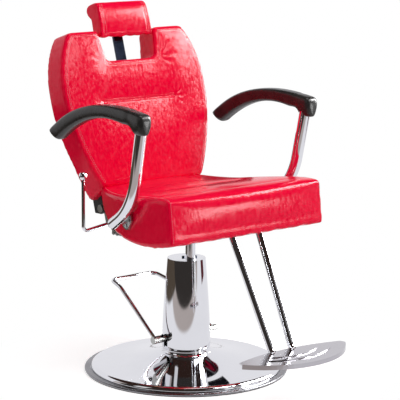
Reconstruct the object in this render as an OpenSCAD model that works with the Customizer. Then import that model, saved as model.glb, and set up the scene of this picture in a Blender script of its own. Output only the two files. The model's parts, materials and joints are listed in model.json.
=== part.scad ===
// Hydraulic barber chair with a reclining back, a lifting headrest and a foot pump.
// Origin: middle of the base, on the floor. +Z is up and the sitter faces -Y,
// so the sitter's right hand is on the -X side.

/* [Base] */
// Diameter of the base over the rim
base_d = 600; // [570:5:640]
// Width of the brushed rim
rim_w = 18; // [15:1:22]
// Thickness of the rubber ring on the floor
gasket_t = 3; // [2:0.5:5]
// Wall of the pressed dish
dish_t = 3; // [2:0.5:4]
// Height of the crest of the dish above the floor
crest_z = 22; // [20:1:28]
// Radius of the shoulder outside the crest
shoulder_r = 12.5; // [10:0.5:13]
// Height of the flat seat in the middle of the dish
plateau_z = 56; // [50:1:66]
// Height of the neck ring round the foot of the cover
neck_h = 17; // [12:1:24]
// Waist of the neck ring, measured in from its edges
neck_waist = 2.5; // [0:0.5:3]

/* [Pump] */
// Height of the top of the pump cover above the floor
cover_z = 335; // [320:5:360]
// Diameter of the cover at its foot
cover_foot_d = 144; // [142:1:150]
// Diameter of the cover at its top
cover_top_d = 112; // [108:1:118]
// Sheet thickness of the cover
cover_t = 1.5; // [1:0.25:2]
// Thickness of the cap that closes the cover
cap_t = 3; // [2:0.5:5]
// Diameter of the cast pump body
pump_d = 90; // [86:1:94]
// Thickness of the flange of the pump body
flange_t = 8; // [6:1:10]
// Diameter of the ram
ram_d = 29; // [28:0.5:30]
// Distance of the ram in front of the middle of the base
ram_front = 18; // [16:1:20]
// Stroke of the ram
ram_stroke = 150; // [120:10:160]
// Length of the ram that shows above the cap when the chair is down
ram_show = 57; // [50:1:80]
// Diameter of the journal at the top of the ram
journal_d = 22; // [18:1:24]

/* [Foot pedal] */
// Diameter of the pedal shaft
shaft_d = 14; // [12:1:14]
// Distance of the pedal shaft behind the middle of the base
shaft_back = 8; // [8:0.5:10]
// Height of the pedal shaft above the floor
shaft_z = 101; // [98:1:108]
// Diameter of the pedal rod
pedal_rod_d = 12; // [10:1:14]
// Distance between the two ends of the pedal rod at the shaft
pedal_w = 216; // [210:2:230]
// Width of the bar that the foot presses
pedal_bar_w = 164; // [150:2:170]
// Reach of the bar behind the middle of the base
pedal_reach = 261; // [240:1:275]
// Height of the bar above the floor
pedal_bar_z = 230; // [215:1:245]

/* [Seat] */
// Width of the seat cushion at its front
seat_front_w = 558; // [550:2:562]
// Width of the seat cushion at its rear
seat_rear_w = 356; // [350:2:364]
// Length of the seat cushion
seat_l = 455; // [453:1:457]
// Place of the front of the seat ahead of the middle of the base
seat_front = 271; // [269:1:273]
// Crown of the seat above its side seams
seat_crown = 18; // [10:1:24]
// Height of the square frame tube
tube_h = 20; // [18:1:24]
// Width of the frame tube
tube_w = 40; // [34:1:44]
// Wall of the frame tube
tube_t = 2; // [1.5:0.5:3]
// Distance between the middles of the two frame rails
rail_gap = 190; // [180:2:200]
// Thickness of the swivel plate
plate_t = 6; // [5:1:8]
// Thickness of the plywood boards
board_t = 12; // [10:1:13]

/* [Arms] */
// Diameter of the arm tube
arm_tube_d = 33; // [30:0.5:34]
// Wall of the arm tube
arm_tube_t = 2; // [1.5:0.5:3]
// Distance from the side of the seat out to the middle of an arm pad
pad_out = 25; // [23:1:29]
// Width of an arm pad
pad_w = 44; // [42:1:52]
// Thickness of the plate that holds an arm to the seat
gusset_t = 6; // [5:0.5:7]

/* [Footrest] */
// Diameter of a footrest tube
foot_tube_d = 21; // [19:0.5:22]
// Wall of a footrest tube
foot_tube_t = 2; // [1.5:0.5:3]
// Distance between the tubes at the seat
foot_top_gap = 100; // [90:2:110]
// Distance between the tubes at the plate
foot_low_gap = 74; // [66:2:84]
// Half width of the foot plate
foot_half_w = 190; // [170:2:200]
// Radius of the front edge of the foot plate
foot_front_r = 240; // [230:2:280]
// Thickness of the foot plate
foot_plate_t = 3; // [2:0.5:4]
// Height of the top of the foot plate above the floor when the chair is down
foot_plate_z = 152; // [148:1:160]

/* [Backrest] */
// Lean of the back from upright, in degrees
back_lean = 17.4; // [15:0.1:18]
// Height of the back cushion from its lower to its upper edge
back_h = 453; // [445:1:465]
// Thickness of the back cushion
back_t = 88; // [86:1:92]
// Half width of the back cushion at its lower edge
back_low_w = 186; // [182:1:190]
// Half width of the back cushion at its upper edge
back_top_w = 207; // [204:1:212]
// Half width of the notch at its floor
notch_low_w = 90; // [86:1:94]
// Half width of the notch at its top
notch_top_w = 104; // [100:1:108]
// Depth of the notch
notch_h = 93; // [86:1:98]
// Width of the hinge plates and of the flanges that carry the back
hinge_w = 38; // [30:1:40]
// Thickness of the hinge plates
hinge_t = 5; // [4:0.5:6]
// Diameter of the hinge axle
axle_d = 16; // [14:1:18]
// Distance from the axle to the pin that the lock rod holds
lug_l = 72; // [70:0.5:74]

/* [Headrest] */
// Half width of the headrest at its top
head_top_w = 90; // [86:1:92]
// Half width of the headrest at its lower edge
head_low_w = 95; // [92:1:98]
// Height of the headrest
head_h = 110; // [104:1:114]
// Width of the flat bar
bar_w = 33; // [28:1:36]
// Thickness of the flat bar
bar_t = 8; // [6:0.5:9]

/* [Recline lever] */
// Diameter of the lever rod
lever_d = 10; // [8:0.5:11]
// Diameter of the ball on the lever
ball_d = 25; // [22:1:28]
// Reach of the upright lever to the side
lever_x = 250; // [246:1:254]
// Height of the ball above the lever shaft
lever_h = 152; // [140:1:158]

/* [Hidden] */
$fn = 96;

// running clearance, on the radius, of the pins and shafts that turn or slide
run_gap = 0.05;
// gap between a soft or pressed piece and what stands beside it
fit_gap = 0.3;
eps = 0.01;

// ---- shared shapes ----

function lerp(a, b, t) = a + (b - a) * t;

function bezier(p, t) = pow(1 - t, 3) * p[0] + 3 * pow(1 - t, 2) * t * p[1]
    + 3 * (1 - t) * t * t * p[2] + t * t * t * p[3];

function arc(c, r, a0, a1, n) =
    [for (i = [0:n]) c + r * [cos(lerp(a0, a1, i / n)), sin(lerp(a0, a1, i / n))]];

function unit(v) = v / norm(v);

function signed_pow(v, e) = sign(v) * pow(abs(v), e);

function reversed(p) = [for (i = [len(p) - 1:-1:0]) p[i]];

// places its children with their x, y and z axes along u, v and w, at p
module placed(p, u, v, w)
    multmatrix([[u[0], v[0], w[0], p[0]], [u[1], v[1], w[1], p[1]], [u[2], v[2], w[2], p[2]]])
        children();

// a round rod from p to q
module rod(p, q, d) {
    w = unit(q - p);
    side = abs(w[0]) < 0.9 ? [1, 0, 0] : [0, 1, 0];
    u = unit(cross(side, w));
    placed(p, u, cross(w, u), w) cylinder(d = d, h = norm(q - p));
}

// a rod bent round the corner at c, from the line a-c to the line c-b
module elbow(a, c, b, r, d) {
    d0 = unit(c - a);
    d1 = unit(b - c);
    turn = acos(d0 * d1);
    inward = unit(d1 - (d0 * d1) * d0);
    start = c - d0 * r * tan(turn / 2);
    spare = joint_gap / r * 180 / PI;
    placed(start + inward * r, -inward, d0, cross(-inward, d0)) rotate([0, 0, spare])
        rotate_extrude(angle = turn - 2 * spare) translate([r, 0]) circle(d = d);
}

// distance from a corner of a path to the start of its bend
function set_back(path, radii, i) =
    let (d0 = unit(path[i] - path[i - 1]), d1 = unit(path[i + 1] - path[i]))
    radii[i] * tan(acos(d0 * d1) / 2);

// a bent rod along path with a bend radius at each inner point, longer by over at both ends;
// a thin coin closes each joint between a straight and a bend
joint_gap = 0.1;

module bent(path, radii, d, over = 0) {
    last = len(path) - 1;
    for (i = [0:last - 1]) {
        along = unit(path[i + 1] - path[i]);
        p = i == 0 ? path[0] - along * over : path[i] + along * set_back(path, radii, i);
        q = i == last - 1 ? path[last] + along * over
            : path[i + 1] - along * set_back(path, radii, i + 1);
        rod(i == 0 ? p : p + along * joint_gap, i == last - 1 ? q : q - along * joint_gap, d);
        if (i > 0) rod(p - along * 3 * joint_gap, p + along * 3 * joint_gap, d + 0.04);
        if (i < last - 1) rod(q - along * 3 * joint_gap, q + along * 3 * joint_gap, d + 0.04);
    }
    for (i = [1:last - 1])
        elbow(path[i - 1], path[i], path[i + 1], radii[i], d);
}

module bent_tube(path, radii, d, wall)
    difference() {
        bent(path, radii, d);
        bent(path, radii, d - 2 * wall, 1);
    }

module tube(d_out, d_in, h)
    difference() {
        cylinder(d = d_out, h = h);
        translate([0, 0, -eps]) cylinder(d = d_in, h = h + 2 * eps);
    }

// a cylinder along X, from x0 to x1
module bar_x(x0, x1, d)
    translate([x0, 0, 0]) rotate([0, 90, 0]) cylinder(d = d, h = x1 - x0);

// a plate drawn in the Y-Z plane, from x0 to x1
module plate_x(x0, x1)
    translate([x0, 0, 0]) rotate([90, 0, 90]) linear_extrude(x1 - x0) children();

module both_sides()
    for (s = [0, 1])
        mirror([s, 0, 0]) children();

// a skin through a row of closed rings that have the same number of points
module loft(rings) {
    n = len(rings[0]);
    m = len(rings);
    sides = [for (i = [0:m - 2], j = [0:n - 1])
        let (k = (j + 1) % n)
        each [[i * n + j, (i + 1) * n + j, (i + 1) * n + k], [i * n + j, (i + 1) * n + k, i * n + k]]];
    ends = [[for (j = [0:n - 1]) j], [for (j = [n - 1:-1:0]) (m - 1) * n + j]];
    polyhedron([for (r = rings) each r], concat(sides, ends), convexity = 6);
}

// a hexagon head, nut or screw head across flats af
module hex(af, h)
    cylinder(d = af / cos(30), h = h, $fn = 6);

// ---- base ----

base_r = base_d / 2;
rim_in_r = base_r - rim_w;
wall_r = rim_in_r - 1;
crest_r = wall_r - shoulder_r;
rim_t = 2.5;
flange_r = base_r - rim_t;
flange_z = gasket_t + dish_t;
plateau_r = cover_foot_d / 2;
pump_hole_r = pump_d / 2 + 1;
dish_steps = 22;

function rise(s) = 0.35 * s + 0.65 * pow(s, 2.2);

function cone(r, drop) =
    [r, crest_z - drop + (plateau_z - crest_z) * rise((crest_r - r) / (crest_r - plateau_r))];

function cone_line(drop) =
    [for (i = [1:dish_steps]) cone(lerp(crest_r, plateau_r, i / dish_steps), drop)];

module base_dish() {
    shoulder = [crest_r, crest_z - shoulder_r];
    color("silver") difference() {
        rotate_extrude() polygon(concat(
            [[flange_r, gasket_t], [flange_r, flange_z], [wall_r, flange_z]],
            arc(shoulder, shoulder_r, 0, 90, 10),
            cone_line(0),
            [[pump_hole_r, plateau_z], [pump_hole_r, plateau_z - dish_t]],
            reversed(cone_line(dish_t)),
            arc(shoulder, shoulder_r - dish_t, 90, 0, 10),
            [[wall_r - dish_t, gasket_t]]));
        pump_bolt_holes();
    }
}

module base_rim() {
    rim_top = flange_z + rim_t;
    color("gray") rotate_extrude() polygon(concat(
        [[rim_in_r, flange_z], [flange_r, flange_z], [flange_r, gasket_t], [base_r, gasket_t]],
        arc([base_r - 3, rim_top - 3], 3, 0, 90, 6),
        [[rim_in_r + 1, rim_top + 0.6], [rim_in_r, rim_top]]));
}

module base_gasket() {
    color("black") rotate_extrude() polygon(concat(
        [[wall_r - dish_t - 4, 0], [base_r - 4, 0]],
        arc([base_r - 3, gasket_t - 1.5], 1.5, -90, 90, 6),
        [[wall_r - dish_t - 4, gasket_t]]));
}

bolt_r = pump_d / 2 + 12;
bolt_d = 8;
stiffener_t = 8;

module base_stiffener() {
    color("dimgray") difference() {
        translate([0, 0, plateau_z - dish_t - stiffener_t])
            tube(2 * (plateau_r - 2), 2 * pump_hole_r, stiffener_t);
        pump_bolt_holes();
    }
}

neck_z = plateau_z;
neck_in_r = bolt_r + 10;

module neck_ring() {
    r = plateau_r;
    lip_r = r - cover_t - 0.2;
    color("silver") rotate_extrude() polygon(concat(
        [[neck_in_r, neck_z], [r, neck_z]],
        [for (i = [1:9]) [r - neck_waist * sin(18 * i), neck_z + neck_h * i / 10]],
        [[r, neck_z + neck_h], [lip_r, neck_z + neck_h], [lip_r, neck_z + neck_h + 3],
            [neck_in_r, neck_z + neck_h + 3]]));
}

// ---- pump ----

ram_y = -ram_front;
ram_floor = 24;
bore_d = ram_d + 3;
cover_foot_z = neck_z + neck_h;
pump_top = cover_z - cap_t;
bush_z = pump_top - 36;
seal_z = pump_top - 6;
bush_d = ram_d + 9;
cam_x = 24;
cam_arm = 18;
cam_tip_r = 6;
cam_w = 10;
cam_turn = 22;
plunger_d = 12;
plunger_drop = cam_arm * sin(cam_turn);
plunger_top = shaft_z - cam_tip_r - fit_gap;

module at_ram(z)
    translate([0, ram_y, z]) children();

module pump_bolt_places()
    for (a = [45:90:315])
        rotate([0, 0, a]) translate([bolt_r, 0, plateau_z]) children();

module pump_bolt_holes()
    pump_bolt_places() translate([0, 0, -50]) cylinder(d = bolt_d + 0.6, h = 100);

module pump_body() {
    color("dimgray") difference() {
        union() {
            translate([0, 0, 12]) cylinder(d = pump_d, h = pump_top - 12);
            translate([0, 0, plateau_z]) cylinder(r = neck_in_r - 1, h = flange_t);
        }
        at_ram(ram_floor - 4) cylinder(d = bore_d, h = pump_top);
        at_ram(bush_z) cylinder(d = bush_d, h = pump_top);
        translate([0, shaft_back, shaft_z]) bar_x(-pump_d, pump_d, shaft_d + 6);
        translate([cam_x - cam_w / 2 - 1, shaft_back - 12, shaft_z - 16])
            cube([cam_w + 2, pump_d, 34]);
        translate([cam_x, shaft_back + cam_arm, 40]) cylinder(d = plunger_d + 2 * run_gap, h = 90);
        pump_bolt_holes();
    }
    // the wall between the ram and the pedal shaft
    color("dimgray") difference() {
        for (x = [-cam_x + 6, cam_x - 12])
            translate([x, shaft_back - 12, shaft_z - 12]) cube([6, 22, 24]);
        at_ram(0) cylinder(d = bore_d, h = pump_top);
        translate([0, shaft_back, shaft_z]) bar_x(-pump_d, pump_d, shaft_d + 1);
    }
}

module pump_bolts() {
    nut_z = -dish_t - stiffener_t;
    color("silver") pump_bolt_places() {
        translate([0, 0, flange_t]) hex(13, 5.3);
        translate([0, 0, nut_z - 9]) cylinder(d = bolt_d, h = flange_t - nut_z + 9 + eps);
        translate([0, 0, nut_z - 6.5]) hex(13, 6.5);
    }
}

function cover_r(z) =
    let (s = (cover_z - z) / (cover_z - cover_foot_z))
    lerp(cover_top_d / 2, cover_foot_d / 2, 1 - pow(1 - s, 1.4));

module pump_cover() {
    steps = 18;
    zs = [for (i = [0:steps]) lerp(cover_foot_z, cover_z, i / steps)];
    slot_w = 20;
    slot_top = shaft_z + 4;
    color("silver") difference() {
        rotate_extrude() polygon(concat(
            [for (z = zs) [cover_r(z), z]],
            [for (z = reversed(zs)) [cover_r(z) - cover_t, z]]));
        translate([-cover_foot_d, shaft_back - slot_w / 2, 0])
            cube([2 * cover_foot_d, slot_w, slot_top]);
        translate([0, shaft_back, slot_top]) bar_x(-cover_foot_d, cover_foot_d, slot_w);
    }
}

cap_screw_r = 26;
cap_screw_turns = [15, 105];

module cap_screw_places()
    for (a = cap_screw_turns)
        translate([0, ram_y, cover_z]) rotate([0, 0, a]) translate([cap_screw_r, 0, 0]) children();

module pump_cap() {
    color("silver") difference() {
        translate([0, 0, pump_top]) cylinder(r = cover_r(cover_z) - cover_t - 0.1, h = cap_t);
        at_ram(0) cylinder(d = ram_d + 1, h = 2 * cover_z);
        cap_screw_places() translate([0, 0, -cap_t - 1]) cylinder(d = 5, h = cap_t + 2);
    }
}

module cap_screws() {
    color("black") cap_screw_places() {
        translate([0, 0, -cap_t]) cylinder(d = 5, h = cap_t + eps);
        difference() {
            cylinder(d = 8.5, h = 4);
            translate([0, 0, 1.5]) hex(4, 3);
        }
    }
}

module guide_bush() {
    color("goldenrod") at_ram(bush_z) tube(bush_d, ram_d + 2 * run_gap, seal_z - bush_z);
}

module ram_seal() {
    color("black") at_ram(seal_z) tube(bush_d, ram_d + 2 * run_gap, pump_top - seal_z);
}

module shaft_bushes() {
    color("goldenrod") both_sides()
        translate([cam_x + cam_w / 2 + 2, shaft_back, shaft_z]) rotate([0, 90, 0])
            tube(shaft_d + 6, shaft_d + 2 * run_gap, 12);
}

// ---- foot pedal ----

clamp_d = 22;
clamp_in = 79;
clamp_out = pedal_w / 2 + 10;
shaft_end = clamp_out - 18;
pedal_start = [pedal_w / 2, shaft_back, shaft_z];
pedal_bar = [pedal_bar_w / 2, pedal_reach, pedal_bar_z];
// the rod is flatter over its last part, before the bar
pedal_knee = pedal_bar - [-7, 56, 12];

module pedal_shaft() {
    color("silver") translate([0, shaft_back, shaft_z]) {
        bar_x(-shaft_end, shaft_end, shaft_d);
        both_sides() bar_x(clamp_in - 4, clamp_in, shaft_d + 5);
    }
}

module pedal_loop_solid() {
    flip = [-1, 1, 1];
    from_shaft = unit(pedal_knee - pedal_start);
    right = [pedal_start - from_shaft * 8, pedal_knee, pedal_bar];
    left = [for (p = reversed(right)) [flip[0] * p[0], p[1], p[2]]];
    bent(concat(right, left), [0, 60, 22, 22, 60, 0], pedal_rod_d);
}

module pedal_loop() {
    color("silver") pedal_loop_solid();
}

module pedal_clamps() {
    color("silver") difference() {
        translate([0, shaft_back, shaft_z]) both_sides() bar_x(clamp_in, clamp_out, clamp_d);
        translate([0, shaft_back, shaft_z]) bar_x(-shaft_end, shaft_end, shaft_d);
        pedal_loop_solid();
        clamp_screw_places() translate([0, 0, -clamp_d]) cylinder(d = 6, h = 2 * clamp_d);
    }
}

module clamp_screw_places()
    both_sides()
        translate([clamp_in + 9, shaft_back, shaft_z]) rotate([35, 0, 0])
            translate([0, 0, clamp_d / 2]) children();

module clamp_screws() {
    length = (clamp_d - shaft_d) / 2;
    color("black") clamp_screw_places() {
        translate([0, 0, -length]) cylinder(d = 6, h = length);
        difference() {
            cylinder(d = 9, h = 4.5);
            translate([0, 0, 2]) hex(5, 3);
        }
    }
}

module pump_cam() {
    x0 = cam_x - cam_w / 2;
    x1 = cam_x + cam_w / 2;
    color("dimgray") translate([0, shaft_back, shaft_z]) difference() {
        union() {
            bar_x(x0, x1, shaft_d + 6);
            translate([0, cam_arm, 0]) bar_x(x0 - 1, x1 + 1, 2 * cam_tip_r);
            plate_x(x0 + 0.5, x1 - 0.5)
                polygon([[0, 9], [cam_arm, cam_tip_r - 1], [cam_arm, -cam_tip_r + 1], [3, -8]]);
        }
        bar_x(0, 2 * cam_x, shaft_d);
    }
}

module plunger() {
    color("silver") translate([cam_x, shaft_back + cam_arm, 0]) {
        translate([0, 0, plunger_top - 36]) cylinder(d = plunger_d, h = 33);
        translate([0, 0, plunger_top - 3]) cylinder(d = plunger_d - 2, h = 3);
    }
}

// ---- ram ----

ram_top = cover_z + ram_show;
hub_h = 10;
washer_t = 2;
deck_z = ram_top + washer_t + hub_h;
piston_h = 20;
hub_d = 52;

module ram() {
    color("silver") at_ram(0) {
        translate([0, 0, ram_floor + piston_h]) cylinder(d = ram_d, h = ram_top - ram_floor - piston_h);
        translate([0, 0, ram_floor]) cylinder(d = ram_d - 9, h = piston_h + eps);
        translate([0, 0, ram_top - eps]) cylinder(d = journal_d, h = deck_z + plate_t + 8 - ram_top);
    }
}

module ram_piston() {
    color("dimgray") at_ram(ram_floor) difference() {
        tube(bore_d - 2 * run_gap, ram_d - 9, piston_h);
        translate([0, 0, piston_h / 2 - 3]) tube(bore_d + 2, bore_d - 5, 6);
    }
}

// the washer that the seat turns on and the nut that keeps it down
module ram_nut() {
    color("goldenrod") at_ram(ram_top) tube(hub_d, journal_d, washer_t);
    color("silver") at_ram(deck_z + plate_t + 0.2) difference() {
        union() {
            cylinder(d = journal_d + 12, h = 1.8);
            translate([0, 0, 1.8]) hex(journal_d + 8, 5.5);
        }
        translate([0, 0, -1]) cylinder(d = journal_d, h = 20);
    }
}

// ---- seat frame, drawn with z = 0 at the underside of the swivel plate ----

module on_deck()
    translate([0, 0, deck_z]) children();

seat_rear = seat_l - seat_front;
// the rear cross tube lies under the cushion, and the axle of the back behind it
cross_back = seat_rear - 49;
hinge_y = seat_rear + 19;
housing_front = cross_back - 50;
plate_x_w = rail_gap + tube_w;
plate_front = ram_y - 90;
plate_rear = housing_front - 13;
rail_z = plate_t;
board_z = rail_z + tube_h;
rail_front = plate_front + 4;
cross_x = 151;
seat_bolt_d = 8;

module plate_bolt_places()
    for (x = [-1, 1], y = [plate_front + 25, plate_rear - 25])
        translate([x * rail_gap / 2, y, 0]) children();

module swivel_hub() {
    color("dimgray") on_deck() at_ram(-hub_h) tube(hub_d, journal_d + 2 * run_gap, hub_h);
}

module swivel_plate() {
    color("dimgray") on_deck() difference() {
        linear_extrude(plate_t)
            difference() {
                translate([-plate_x_w / 2, plate_front]) square([plate_x_w, plate_rear - plate_front]);
                translate([0, ram_y]) circle(d = journal_d + 2 * run_gap);
                for (x = [-1, 1], y = [plate_front, plate_rear])
                    translate([x * plate_x_w / 2, y]) rotate([0, 0, 45]) square(24, center = true);
            }
        plate_bolt_places() translate([0, 0, -eps]) cylinder(d = seat_bolt_d + 0.6, h = 40);
    }
}

module plate_bolts() {
    color("silver") on_deck() plate_bolt_places() {
        translate([0, 0, -5.3]) hex(13, 5.3);
        translate([0, 0, -eps]) cylinder(d = seat_bolt_d, h = board_z + eps);
    }
}

module rail() {
    difference() {
        translate([rail_gap / 2 - tube_w / 2, rail_front, rail_z])
            cube([tube_w, cross_back - tube_w - rail_front, tube_h]);
        translate([rail_gap / 2 - tube_w / 2 + tube_t, rail_front - 1, rail_z + tube_t])
            cube([tube_w - 2 * tube_t, cross_back - rail_front, tube_h - 2 * tube_t]);
        plate_bolt_places() cylinder(d = seat_bolt_d + 0.6, h = board_z + 1);
    }
}

module rail_right() {
    color("dimgray") on_deck() mirror([1, 0, 0]) rail();
}

module rail_left() {
    color("dimgray") on_deck() rail();
}

// a square tube across the seat, from -x to x
module cross_tube(x, y)
    difference() {
        translate([-x, y, rail_z]) cube([2 * x, tube_w, tube_h]);
        translate([-x - 1, y + tube_t, rail_z + tube_t])
            cube([2 * x + 2, tube_w - 2 * tube_t, tube_h - 2 * tube_t]);
    }

module front_cross() {
    color("dimgray") on_deck() cross_tube(rail_gap / 2 - tube_w / 2, rail_front);
}

module rear_cross() {
    color("dimgray") on_deck() cross_tube(cross_x, cross_back - tube_w);
}

// ---- seat cushion ----

function seat_half(y) =
    let (t = max(0, (y + seat_front) / (seat_l - 4)))
    lerp(seat_front_w / 2, seat_rear_w / 2, min(1, pow(t, 2.1)));

// lower edge of the cushion and its upper side seam, as y and z
seat_low = [[-seat_front - 15, 49], [-120, -6], [seat_rear + 16, 18], [seat_rear, 137]];
seat_seam_z = [172, 173, 115, 137.5];
seat_bulge = 6;

function seam_z(y) = bezier(seat_seam_z, max(0, (y + seat_front) / seat_l));

// one ring of the cushion: a flat bottom, upright sides and a crowned top
function seat_ring(t, inset) =
    let (
        low = bezier(seat_low, t),
        y = low[0] + 15 * pow(1 - t, 8),
        w = seat_half(y) - inset,
        top = seam_z(y) - inset * 0.7,
        bottom = low[1] + inset * 0.7,
        s = (y + seat_front) / seat_l,
        crown = 2 + seat_crown * (1 - pow(2 * s - 1, 4)),
        slant = 15 * pow(1 - t, 8))
    concat(
        [for (i = [0:12]) let (a = 15 * i, v = pow(max(0, sin(a)), 0.6))
            [w * cos(a), y, top + crown * v]],
        [for (f = [0.75, 0.4, 0.12])
            [-w - seat_bulge * f * (1 - f), y - slant * (1 - f), lerp(bottom, top, f)]],
        [for (f = [-0.94, -0.5, 0, 0.5, 0.94]) [w * f, y - slant, bottom - 1.5 * (1 - f * f)]],
        [for (f = [0.12, 0.4, 0.75])
            [w + seat_bulge * f * (1 - f), y - slant * (1 - f), lerp(bottom, top, f)]]);

skirt_t = 12;

// plan of the inside of the cushion, a little smaller than the cushion by k on each side
module seat_plan(k) {
    ys = [for (i = [0:16]) lerp(-seat_front - 4 + k, cross_back, i / 16)];
    polygon(concat([for (y = ys) [seat_half(y) - k, y]], [for (y = reversed(ys)) [k - seat_half(y), y]]));
}

slope_start = -190;
slope_rise = 24;
board_front = -seat_front + 3;
board_back = cross_back - 75;

// side view of the seat board: flat, then sloping up at the front
module board_profile(grow)
    polygon([[board_back, board_z - 20 * grow], [board_back, board_z + board_t],
        [slope_start, board_z + board_t], [board_front, board_z + board_t + slope_rise],
        [board_front, board_z + slope_rise - 20 * grow], [slope_start, board_z - 20 * grow]]);

module board_solid(k, grow)
    intersection() {
        plate_x(-seat_front_w, seat_front_w) board_profile(grow);
        translate([0, 0, -deck_z]) linear_extrude(2 * deck_z) seat_plan(k);
    }

module seat_board() {
    color("burlywood") on_deck() board_solid(skirt_t + fit_gap, 0);
}

plank_t = 15;
plank_h = 62;
plank_front = -150;
arm_y = -60;
arm_bolts_at = [[-2, 68], [-22, 86]];

module planks_solid()
    translate([0, 0, board_z + board_t]) linear_extrude(plank_h) intersection() {
        difference() {
            seat_plan(skirt_t + fit_gap);
            seat_plan(skirt_t + plank_t);
        }
        translate([-seat_front_w, plank_front]) square([2 * seat_front_w, board_back - plank_front]);
    }

module side_planks() {
    color("burlywood") on_deck() difference() {
        planks_solid();
        both_sides() arm_frame() arm_bolt_places() bar_x(-40, 10, seat_bolt_d);
    }
}

module seat_cushion() {
    ts = [for (i = [0:22]) pow(i / 22, 0.9)];
    rings = concat([seat_ring(0, 12), seat_ring(0.004, 4)],
        [for (i = [1:21]) seat_ring(ts[i], 0)], [seat_ring(0.985, 4)]);
    color("crimson") on_deck() difference() {
        loft(rings);
        board_solid(skirt_t, 1);
        planks_solid();
        both_sides() arm_frame() arm_bolt_places() bar_x(-40, 40, seat_bolt_d);
        both_sides() rod(foot_path[0], lerp(foot_path[0], foot_path[1], 0.2), foot_tube_d + 2 * fit_gap);
    }
}

// ---- arms, drawn for the +X side ----

arm_x = seat_front_w / 2 + pad_out;
arm_path = [[arm_x - 4, -172, 371], [arm_x - 9.5, -125, 136.5], [arm_x - 24, -19, 70]];
arm_radii = [0, 90, 0];
arm_turn = atan((seat_half(arm_y - 1) - seat_half(arm_y + 1)) / 2);

// local frame on the side of the seat: x points out of the seat, y back, z up
module arm_frame()
    translate([seat_half(arm_y) + seat_bulge / 4, arm_y, 0]) rotate([0, 0, arm_turn]) children();

module arm_bolt_places()
    for (p = arm_bolts_at)
        translate([0, p[0], p[1]]) children();

module arm_rod()
    bent(arm_path, arm_radii, arm_tube_d);

module arm_tube()
    bent_tube(arm_path, arm_radii, arm_tube_d, arm_tube_t);

module arm_right() {
    color("silver") on_deck() mirror([1, 0, 0]) arm_tube();
}

module arm_left() {
    color("silver") on_deck() arm_tube();
}

// the gusset is bolted to the side of the seat and a boss joins it to the tube
module gusset() {
    difference() {
        arm_frame() {
            plate_x(fit_gap, fit_gap + gusset_t)
                polygon([[-36, 88], [-30, 112], [4, 112], [26, 84], [20, 64], [0, 57], [-14, 60]]);
            translate([0, -6, 98]) bar_x(fit_gap + gusset_t, 27, 22);
        }
        arm_rod();
        arm_frame() arm_bolt_places() bar_x(-1, 40, seat_bolt_d);
    }
}

module arm_gussets() {
    color("gray") on_deck() both_sides() gusset();
}

module arm_bolts() {
    color("silver") on_deck() both_sides() arm_frame() arm_bolt_places() {
        bar_x(-skirt_t - plank_t, fit_gap + gusset_t + eps, seat_bolt_d);
        translate([fit_gap + gusset_t, 0, 0]) rotate([0, 90, 0]) cylinder(d = 14, h = 2);
    }
}

module arm_plugs() {
    end = arm_path[2];
    along = unit(arm_path[2] - arm_path[1]);
    color("black") on_deck() both_sides() {
        rod(end, end + along * 2, arm_tube_d - 1);
        rod(end - along * 12, end + along, arm_tube_d - 2 * arm_tube_t);
    }
}

pad_rear = 237;
pad_front = -228;
// upper and lower outline of a pad, as y and z
pad_top = [[pad_rear, 309], [130, 392], [-20, 419], [pad_front, 405]];
pad_low = [[195, 284], [90, 352], [-20, 376], [-112, 362]];
socket_z = 343;

// lower outline: along the arm, then down round the socket
function pad_low_z(y) =
    let (
        t = (y - pad_low[0][0]) / (pad_low[3][0] - pad_low[0][0]),
        along = y > pad_low[3][0] ? bezier([for (p = pad_low) p[1]], max(0, t)) : pad_low[3][1],
        tip = y > pad_low[0][0] ? 25 * pow((y - pad_low[0][0]) / (pad_rear - pad_low[0][0]), 2) : 0,
        near = min(1, max(0, (-96 - y) / 44)))
    lerp(along + tip, socket_z, near * near * (3 - 2 * near));

function pad_ring(t, shrink) =
    let (
        top = bezier(pad_top, t),
        y = top[0],
        low = min(pad_low_z(y), top[1] - 2),
        mid = (top[1] + low) / 2,
        h = (top[1] - low) / 2 * shrink,
        w = pad_w / 2 * shrink)
    [for (i = [0:23]) let (a = 15 * i)
        [arm_x + w * signed_pow(cos(a), 0.62), y, mid + h * signed_pow(sin(a), 0.62)]];

module pad() {
    rings = concat([pad_ring(0, 0.35), pad_ring(0.006, 0.75)],
        [for (i = [1:22]) pad_ring(0.02 + 0.96 * pow(i / 22, 0.95), 1)],
        [pad_ring(0.992, 0.82), pad_ring(1, 0.5)]);
    difference() {
        loft(rings);
        arm_rod();
    }
}

module pad_right() {
    color("#2c2a28") on_deck() mirror([1, 0, 0]) pad();
}

module pad_left() {
    color("#2c2a28") on_deck() pad();
}

// ---- footrest ----

slope_angle = atan(slope_rise / (slope_start - board_front));
foot_top_y = -seat_front + 12;
foot_top_z = board_z + (slope_start - foot_top_y) * tan(slope_angle);
foot_z = foot_plate_z - foot_plate_t - deck_z;
foot_axis_z = foot_z - foot_tube_d / 2;
foot_back = -433;
foot_tip_y = -480;
foot_centre_y = foot_tip_y + sqrt(foot_front_r * foot_front_r - foot_half_w * foot_half_w);
flange_plate_t = 5;

// local frame on the sloping front of the seat board, z pointing down out of it
module under_slope()
    translate([0, foot_top_y, foot_top_z]) rotate([180 - slope_angle, 0, 0]) children();

module foot_flange() {
    color("dimgray") on_deck() under_slope()
        translate([-foot_top_gap / 2 - 22, -50, 0]) cube([foot_top_gap + 44, 52, flange_plate_t]);
}

foot_path = [[foot_top_gap / 2, foot_top_y - 1, foot_top_z + 8],
    [foot_low_gap / 2 - 0.5, foot_back + foot_tube_d / 2 - 9, foot_axis_z],
    [foot_low_gap / 2 - 4, foot_back - 90, foot_axis_z - 1]];

foot_radii = [0, 40, 0];

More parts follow.
